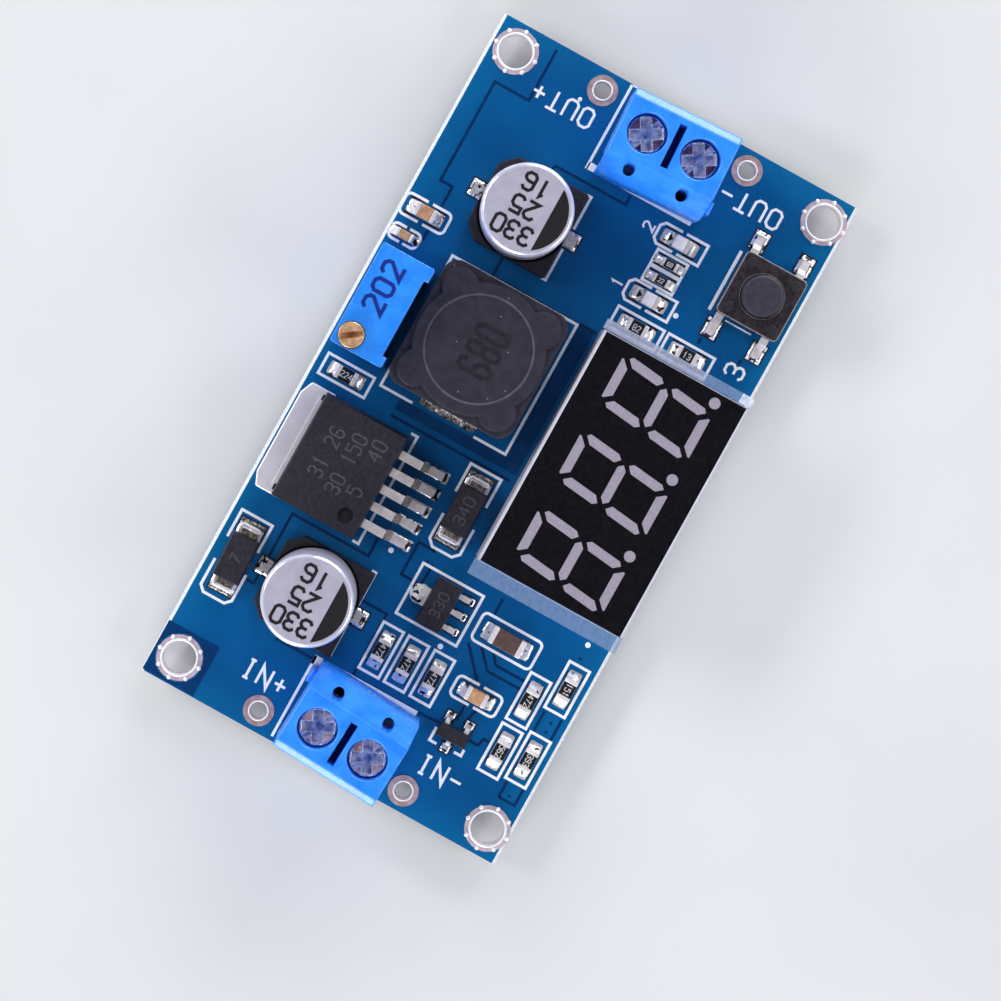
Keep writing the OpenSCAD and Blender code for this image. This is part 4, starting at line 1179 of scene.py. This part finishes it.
# %% Closed sheet
def sheet_solid(mesh, top, under, paint_at=None):
    """A closed solid from a grid of top points; under gives the point below each."""
    upper = [[mesh.verts.new(point) for point in row] for row in top]
    lower = [[mesh.verts.new(under(point)) for point in row] for row in top]
    rows, columns = len(top), len(top[0])
    faces = []
    for i in range(rows - 1):
        for j in range(columns - 1):
            for grid in (upper, lower):
                here, next_row = grid[i], grid[i + 1]
                faces.append(mesh.faces.new((here[j], next_row[j], next_row[j + 1], here[j + 1])))
    border = [(i, 0) for i in range(rows)]
    border += [(rows - 1, j) for j in range(1, columns)]
    border += [(i, columns - 1) for i in range(rows - 2, -1, -1)]
    border += [(0, j) for j in range(columns - 2, 0, -1)]
    for (i, j), (k, l) in zip(border, border[1:] + border[:1]):
        faces.append(mesh.faces.new((upper[i][j], upper[k][l], lower[k][l], lower[i][j])))
    if paint_at:
        for face in faces:
            face.material_index = paint_at(face.calc_center_median())


def drop_to_board(point):
    """The point below, just inside the board's face."""
    return (point.x, point.y, BOARD_TOP - SUNK)


def square_grid(cells, place):
    """Rows of the points that place(u, v) gives, for u and v from -1 to 1."""
    steps = [2 * k / cells - 1 for k in range(cells + 1)]
    return [[place(u, v) for v in steps] for u in steps]


print("square_grid() makes a grid and sheet_solid() closes it")

# %% [markdown]
# Each CAD fillet is a plain wedge. Its high edge tells where the part stands, and the rest tells which
# way the solder runs, how far and how wide. The finer fillet is then drawn from those facts alone.

# %% Fillet facts
def fillet_facts(points):
    """Foot of the high edge, outward and sideways directions, reach, half width and rise."""
    low, high = box_of(points)
    rise = high.z - low.z
    crest = [point for point in points if point.z > low.z + 0.9 * rise]
    near = sum((point.to_2d() for point in crest), Vector((0, 0))) / len(crest)
    flat = [point.to_2d() for point in points]
    out = (sum(flat, Vector((0, 0))) / len(flat) - near).normalized()
    across = Vector((-out.y, out.x))
    reach = max((point - near).dot(out) for point in flat)
    half = max(abs((point - near).dot(across)) for point in flat)
    return near, out, across, reach, half, rise


def fillet_grid(facts, cells):
    """The hollow surface of one solder fillet."""
    near, out, across, reach, half, rise = facts

    def place(u, v):
        u = (u + 1) / 2  # from 0 at the part to 1 at the fillet's toe
        spot = near + out * (reach * u * (1 - 0.12 * v ** 8))
        spot += across * (half * v * (1 - 0.05 * u ** 2))
        rough = noise.noise(Vector((spot.x * 1.7, spot.y * 1.7, 3.1)))
        hollow = (1 - u) ** 2.1 * (1 - 0.35 * v ** 4) * (1 + 0.25 * rough)
        bulge = 0.35 * (1 - v ** 4) * u * (1 - u) * (0.6 + rough)
        height = 0.03 + rise * min(0.97, hollow + bulge)
        return Vector((spot.x, spot.y, BOARD_TOP + height))

    return square_grid(cells, place)


print(len(solids("surface_solder")), "fillets to draw")

# %% [markdown]
# Under a lead the solder also spreads over the whole pad, as a low cushion with rounded shoulders.
# Where a wide tab is soldered down, it stands as one round blob.

# %% Pools and blobs
# How far solder runs back under each kind of lead, its half width and its thickness
POOLS = {
    "input_capacitor_leads": (1.1, 0.78, 0.17), "output_capacitor_leads": (1.1, 0.78, 0.17),
    "rectifier_leads": (0.9, 1.15, 0.14), "input_diode_leads": (0.9, 1.15, 0.14),
    "switch_leads": (1.4, 0.68, 0.15), "regulator_leads": (2, 0.5, 0.1),
    "logic_supply_leads": (0.7, 0.3, 0.08), "transistor_leads": (0.5, 0.42, 0.12),
}


def pool_grid(facts, back, half, thick, cells=12):
    """Solder spread over a whole pad, with rounded shoulders and a slightly uneven top."""
    near, out, across, reach, _, _ = facts

    def place(u, v):
        spot = near + out * ((reach - back) / 2 + (reach + back) / 2 * u) + across * (half * v)
        rough = noise.noise(Vector((spot.x * 2.3, spot.y * 2.3, 8.4)))
        height = 0.02 + thick * (1 - max(abs(u), abs(v)) ** 6) * (1 + 0.35 * rough)
        return Vector((spot.x, spot.y, BOARD_TOP + height))

    return square_grid(cells, place)


def puddle(mesh, centre, half_x, half_y, rise, cells, paint_at):
    """A round blob of solder: a square grid pulled into a disc."""

    def place(u, v):
        x, y = u * math.sqrt(1 - v * v / 2), v * math.sqrt(1 - u * u / 2)
        rough = noise.noise(Vector((centre[0] + x * 1.6, centre[1] + y * 1.6, 5.2)))
        height = 0.02 + rise * math.sqrt(max(0, 1 - x * x - y * y)) * (1 + 0.7 * rough)
        return Vector((centre[0] + half_x * x, centre[1] + half_y * y, BOARD_TOP + height))

    sheet_solid(mesh, square_grid(cells, place), drop_to_board, paint_at)


print(len(POOLS), "kinds of pool")

# %% [markdown]
# ## Pads
# Every chip sits on two tinned pads, a little larger than its ends. They reach past the fillets, and only a
# thin rim of them shows, painted dark as a painted reflection of the dark around them.

# %% Pads
def lead_node(near):
    """The node whose leads end at this point, or None for a chip part."""
    for node in POOLS:
        low, high = box_mm(node)
        if low.x - 0.1 < near.x < high.x + 0.1 and low.y - 0.1 < near.y < high.y + 0.1:
            return node
    return None


# The pads' dark colour is a painted reflection of the dark surroundings
pad_painted_dark_reflection = finish("pad_painted_dark_reflection", (70, 72, 84), (104, 104, 116), 3, (0.15, 0.3), 0.01, 6, metal=0.9)
# Near-black laminate round the leads' pads: painted shade
pad_gap_painted_shade = finish("pad_gap_painted_shade", (14, 22, 38), (30, 38, 54), 3, (0.4, 0.6), specular=DULL)
pads = bmesh.new()
for centre, turn, length, width, height in [*resistors, *ceramics, *indicators]:
    roomy = centre.x > 12  # the chips at the output's end have larger pads
    past = (0.75 if roomy else 0.55) if length > 1.8 else 0.5
    for side in (-1, 1):
        near, far = side * (length / 2 - 0.3), side * (length / 2 + past)
        half = width / 2 + (0.2 if roomy else 0.1)
        corners = [(near, -half), (far, -half), (far, half), (near, half)]
        prism(pads, turned(centre, turn, corners), BOARD_TOP - SUNK, BOARD_TOP + 0.02)
print("pads of the chips drawn")

# %% [markdown]
# Round the leads' pads the mask keeps a small distance; the bare laminate there is drawn near-black as
# painted shade.

# %% Gaps in the mask
MASK_GAP = 0.13
for points in solids("surface_solder"):
    near, out, across, reach, _, _ = fillet_facts(points)
    node = lead_node(near)
    if node and node != "regulator_leads":
        back, half, _ = POOLS[node]
        wide = across * (half + MASK_GAP)
        start, end = near - out * (back + MASK_GAP), near + out * (reach + MASK_GAP)
        frame_corners = [start - wide, end - wide, end + wide, start + wide]
        prism(pads, frame_corners, BOARD_TOP - SUNK, BOARD_TOP + 0.015, 1)
new_piece("chip_pads", pads, [pad_painted_dark_reflection, pad_gap_painted_shade], "board")
print("pads and the gaps round them drawn")

# %% [markdown]
# ## Pouring the solder
# Hand-finished joints are never even: most of a fillet is bright, but it mirrors dark surroundings in
# patches, which are painted in as dark reflections, and solder that ran past a diode's end or along the
# inductor froze rough. A rule with a noise in it splits each fillet's faces among four finishes.

# %% Solder finishes
solder = finish("solder", (226, 223, 228), (255, 254, 255), 3.5, (0.06, 0.2), 0.025, 5, metal=0.6)
rough_solder = finish("rough_solder", (16, 14, 17), (176, 170, 166), 4, (0.1, 0.3), 0.05, 5, metal=0.5)
# Near-black solder: dark reflections painted into the fillets
painted_dark_reflection = finish("painted_dark_reflection", (10, 9, 12), (62, 58, 60), 5, (0.1, 0.3), 0.02, 6, metal=0.6)
DIODES = ("rectifier_leads", "input_diode_leads")


def is_strip(facts):
    """Whether this is the long rough fillet along the inductor's end."""
    return facts[0].x < choke_middle.x - 5 and abs(facts[0].y - choke_middle.y) < 2


def solder_skin(facts, node):
    """A rule for one fillet: 0 bright, 1 rough, 3 a painted dark reflection."""
    near, out, across, _, half, _ = facts

    def paint_at(point):
        past = (point.to_2d() - near).dot(out)
        aside = abs((point.to_2d() - near).dot(across)) / half
        if node in DIODES:
            return 1 if past > 0.3 else 0
        if is_strip(facts):
            return 1
        spots = noise.noise(Vector((point.x * 2.4, point.y * 2.4, 1.7)))
        if node:
            return 3 if 0.08 < past < 0.3 + 0.2 * spots and aside < 0.6 or spots > 0.3 else 0
        return 3 if spots > 0.4 else 0

    return paint_at


print("four finishes for solder")

# %% [markdown]
# Every wedge in the CAD node is now replaced by its finer fillet, and each lead that has a wide pad
# also gets its pool. The fillet along the inductor is long, so it needs a finer grid.

# %% Fillets
STRIP_REACH = 0.8  # the fillet along the inductor is narrower than its wedge
fillets = bmesh.new()
for points in solids("surface_solder"):
    facts = fillet_facts(points)
    near, out, across, reach, half, rise = facts
    node = lead_node(near)
    cells = 12
    if is_strip(facts):
        cells = 28
        facts = (near, out, across, STRIP_REACH, half, rise)
    skin = solder_skin(facts, node)
    sheet_solid(fillets, fillet_grid(facts, cells), drop_to_board, skin)
    if node:
        sheet_solid(fillets, pool_grid(facts, *POOLS[node]), drop_to_board, skin)
print("fillets and pools poured")

# %% [markdown]
# At a diode's ends the solder stands as a bright round bead bent like a U, one wire thick. It is a
# sweep with a round section along a hooked path. Three round blobs complete the solder: one on the
# small regulator's tab, and two beside the inductor.

# %% Beads and blobs
def round_bead(mesh, path, radius, z, paint_index=0):
    """Adds a round bead along a path, its middle at this height."""
    turns = [math.radians(45 * k) for k in range(8)]
    sweep(mesh, path, [(radius * math.cos(a), z + radius * math.sin(a)) for a in turns], False, paint_index)


def blob_skin(point):
    """2 for bright solder, 3 for a painted dark reflection."""
    return 3 if noise.noise(point * 2.6) > 0.22 else 2


def bright_skin(point):
    """2 everywhere, for bright solder."""
    return 2


hook = arc((0.02, -0.66), 0.27, 0, -90, 5)[::-1] + arc((0.02, 0.66), 0.27, 0, 90, 5)
hook = [(-0.5, -0.93), *hook, (-0.5, 0.93)]
for points in solids("surface_solder"):
    near, out, across, _, _, _ = fillet_facts(points)
    if lead_node(near) in DIODES:
        round_bead(fillets, [near + out * x + across * y for x, y in hook], 0.11, BOARD_TOP + 0.6, 2)
tab_blob = (middle_of("logic_supply_body").x, box_mm("logic_supply_leads")[1].y - 0.7)
puddle(fillets, tab_blob, 0.95, 0.88, 0.5, 20, blob_skin)
for y in (6.25, 3.7):
    puddle(fillets, (-0.42, y), 0.24, 0.2, 0.8, 10, bright_skin)
new_piece("solder_fillets", fillets, [solder, rough_solder, bright_solder_and_painted_glint, painted_dark_reflection], "board",
          ["surface_solder"], angle=50)
softened("pin_solder", [solder], 0, angle=60)
print("solder done")

# %% [markdown]
# ## Indicators
# Each tiny LED has a white carrier, a milky lens and metal ends. The end with the green tint and the
# notch is the cathode: the notch is the gap in its gold pad, seen through the resin.

# %% Indicators
led_carrier = finish("led_carrier", (226, 224, 226), (240, 238, 240), 3, (0.5, 0.6))
led_lens = finish("led_lens", (244, 238, 246), (255, 250, 255), 2.5, (0.12, 0.25), 0.01, 5)
green_stain = finish("green_stain", (40, 120, 92), (90, 160, 130), 5, (0.4, 0.5))
softened("indicator_bases", [led_carrier], 0.03)
softened("indicator_lenses", [led_lens], 0.08)
notches = bmesh.new()
for centre, turn, length, width, height in indicators:
    high = BOARD_TOP + height
    near, far = 0.34 * length, 0.56 * length
    notch = ((-0.42, far), (0, near), (0.42, far))
    prism(notches, [centre + Vector(spot) for spot in notch], high, high + 0.05)
    for side in (-1, 1):
        stain = ((0.2 * side, near - 0.3), (0.6 * side, near - 0.3), (0.6 * side, near + 0.16))
        prism(notches, [centre + Vector(spot) for spot in stain], high - 0.3, high + 0.04, 1)
new_piece("indicator_notches", notches, [black_print, green_stain], "board")
print(len(indicators), "indicators")

# %% [markdown]
# ## Push switch
# A black moulded base with four posts staked over a thin steel cover. The cover is blackened, and the
# button rides on its own body.

# %% Push switch
cover_black = finish("cover_black", (30, 25, 30), (54, 48, 54), 2.5, (0.4, 0.6), 0.012, 9, 0, DULL)
button_grey = finish("button_grey", (52, 48, 60), (62, 58, 71), 2, (0.45, 0.55), 0.004, 14, 0, DULL)
softened("switch_base", [black_moulding], 0.1)
softened("switch_cover", [tin, cover_black], 0.05, choose=facing_up)
softened("switch_button", [button_grey], 0.06)
softened("switch_leads", [tin], 0.05)
print("switch reaches", round(top_of("switch_button"), 2), "mm")

# %% [markdown]
# Only the worn edges of the switch are bright: the cover's rim and the edge of its hole. A lighter ring on
# the rim of the button is a painted highlight. They are thin ribbons, because a bevel would lighten every
# edge of the part alike.

# %% Worn edges
worn_steel = finish("worn_steel", (108, 102, 104), (168, 162, 160), 3, (0.3, 0.45), metal=0.3)
cover_low, cover_high = box_mm("switch_cover")
cover_middle = (cover_low + cover_high).to_2d() / 2
half_cover = (cover_high.x - cover_low.x) / 2 - 0.06
CORNER = 0.4
outline = []
for quarter in range(4):
    inset = Vector((half_cover - CORNER, half_cover - CORNER))
    corner = cover_middle + Matrix.Rotation(math.radians(90 * quarter), 2) @ inset
    outline += arc(corner, CORNER, 90 * quarter, 90 * quarter + 90)
worn = bmesh.new()
for path, width in ((outline, 0.07), (arc(cover_middle, 1.99, 0, 355, 71), 0.045)):
    ribbon(worn, path, width, cover_high.z - 0.02, cover_high.z + 0.012, closed=True)
new_piece("switch_worn_edges", worn, [worn_steel], "board")
button_top = top_of("switch_button")
# A slightly lighter ring at the button's edge: a painted highlight
rim = bmesh.new()
ribbon(rim, arc(cover_middle, 1.64, 0, 355, 71), 0.05, button_top - 0.02, button_top + 0.008, closed=True)
new_piece("button_rim_painted_highlight", rim, [grey_print_and_painted_highlight], "button")
print("edges worn")

# %% [markdown]
# Under the button lies the snap dome, a thin sprung cap that a pressed button flattens. Here it is a copy
# with a mesh of its own.

# %% Snap dome
snap_dome = softened("switch_dome", [zinc], 0, angle=60)
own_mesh(snap_dome)

# %% [markdown]
# ## Display
# The case is white polycarbonate. Its face is a black glossy sheet with the light wells of the
# segments left open. Each segment is a well filled with milky resin, so it shows grey when dark. The
# long side towards the inductor lies in its shade and gets a greyer white.

# %% Display
display_white = finish("display_white", (211, 213, 227), (219, 221, 233), 1, (0.45, 0.55), 0.003, 12)
face_black = finish("face_black", (12, 11, 14), (18, 17, 21), 2, (0.16, 0.22), specular=0.1)
segment_grey = finish("segment_grey", (154, 147, 163), (166, 158, 175), 4, (0.4, 0.52), 0.01, 9)
back_green = finish("back_green", (30, 92, 66), (44, 112, 82), 2, (0.4, 0.5))
display_side = finish("display_side", (166, 161, 182), (176, 171, 191), 1, (0.45, 0.55), 0.003, 12)


def shaded_side(face):
    """1 for the long side that faces the inductor, 0 for the rest of the case."""
    return 1 if face.normal.y > 0.9 else 0


softened("display_case", [display_white, display_side], 0.08, choose=shaded_side)
softened("display_face", [face_black], 0)
softened("display_segments", [segment_grey], 0)
softened("display_back", [back_green], 0.04)
face_low, face_high = box_mm("display_face")
white_rims = bmesh.new()
for y, wide in ((face_high.y, 0.14), (face_low.y, -0.14)):
    outline = [(face_low.x, y), (face_low.x, y - wide), (face_high.x, y - wide), (face_high.x, y)]
    prism(white_rims, outline, face_high.z - 0.02, face_high.z + 0.012)
new_piece("display_rims", white_rims, [display_white], "board")
print("display done")

# %% [markdown]
# ## Protective film
# The maker's clear film is still on the display. It clings to the face, where it is all but invisible,
# and stands free past both ends, where it is hazy and pale blue with whitish cut edges. Each state is
# a finish of its own that lets another share of the light through.

# %% Film finishes
def film_skin(name, dark, light, cover, rough):
    """A clear sheet that hides this share of what lies under it."""
    made = finish(name, dark, light, 2.6, (rough, rough + 0.1))
    made.node_tree.nodes["Principled BSDF"].inputs["Alpha"].default_value = cover
    return made


film_clinging = film_skin("film_clinging", (30, 30, 36), (60, 60, 70), 0.04, 0.2)
film_free = film_skin("film_free", (116, 144, 184), (134, 160, 198), 0.42, 0.3)
film_rim = film_skin("film_rim", (196, 210, 232), (230, 238, 248), 0.65, 0.4)
film_milky = film_skin("film_milky", (158, 164, 190), (174, 178, 202), 0.5, 0.3)
film_low, film_high = box_mm("display_film")


def film_place(point):
    """0 where the film clings to the face, 1 and 3 where it is free, 2 at its cut rims."""
    if min(point.x - film_low.x, film_high.x - point.x) < 0.1:
        return 2
    if face_low.x - 0.1 < point.x < face_high.x + 0.1:
        return 0
    if point.x > 0 and point.y < film_low.y + 1.2:
        return 2
    return 3 if point.x > 0 and point.y > film_low.y + 4.5 else 1


print("film is", round(film_high.x - film_low.x, 2), "mm long")

# %% [markdown]
# The film is one closed sheet on a grid. A slight wave runs through it, and grows where the film has
# nothing to lie on. Small bright specks sit on its free ends. They are strewn with a seeded
# generator, so that they fall in the same places every time.

# %% Film
FILM_COLUMNS = 84
FILM_ROWS = 50


def film_point(i, j):
    """A point of the film's top, in column i and row j."""
    x = film_low.x + (film_high.x - film_low.x) * i / FILM_COLUMNS
    y = film_low.y + (film_high.y - film_low.y) * j / FILM_ROWS
    free = max(0, face_low.x - x, x - face_high.x)
    wave = noise.noise(Vector((x * 0.5, y * 0.5, 0.7))) * (0.02 + 0.12 * free)
    return Vector((x, y, film_low.z + 0.07 + wave + 0.05 * free))


film = bmesh.new()
film_grid = [[film_point(i, j) for j in range(FILM_ROWS + 1)] for i in range(FILM_COLUMNS + 1)]
sheet_solid(film, film_grid, lambda point: (point.x, point.y, point.z - 0.05), film_place)
film_skins = [film_clinging, film_free, film_rim, film_milky]
new_piece("film", film, film_skins, "board", ["display_film"])
specks = bmesh.new()
luck = random.Random(7)
for i in range(26):
    start, spread = (film_low.x + 0.2, 1.1) if i % 3 else (face_high.x + 0.15, 0.7)
    x, y = start + luck.random() * spread, luck.uniform(film_low.y + 0.3, film_high.y - 0.3)
    dome(specks, (x, y), luck.uniform(0.03, 0.08), 0.03, film_low.z + 0.13, 1, 6)
new_piece("film_specks", specks, [dust], "board")
print("film laid")
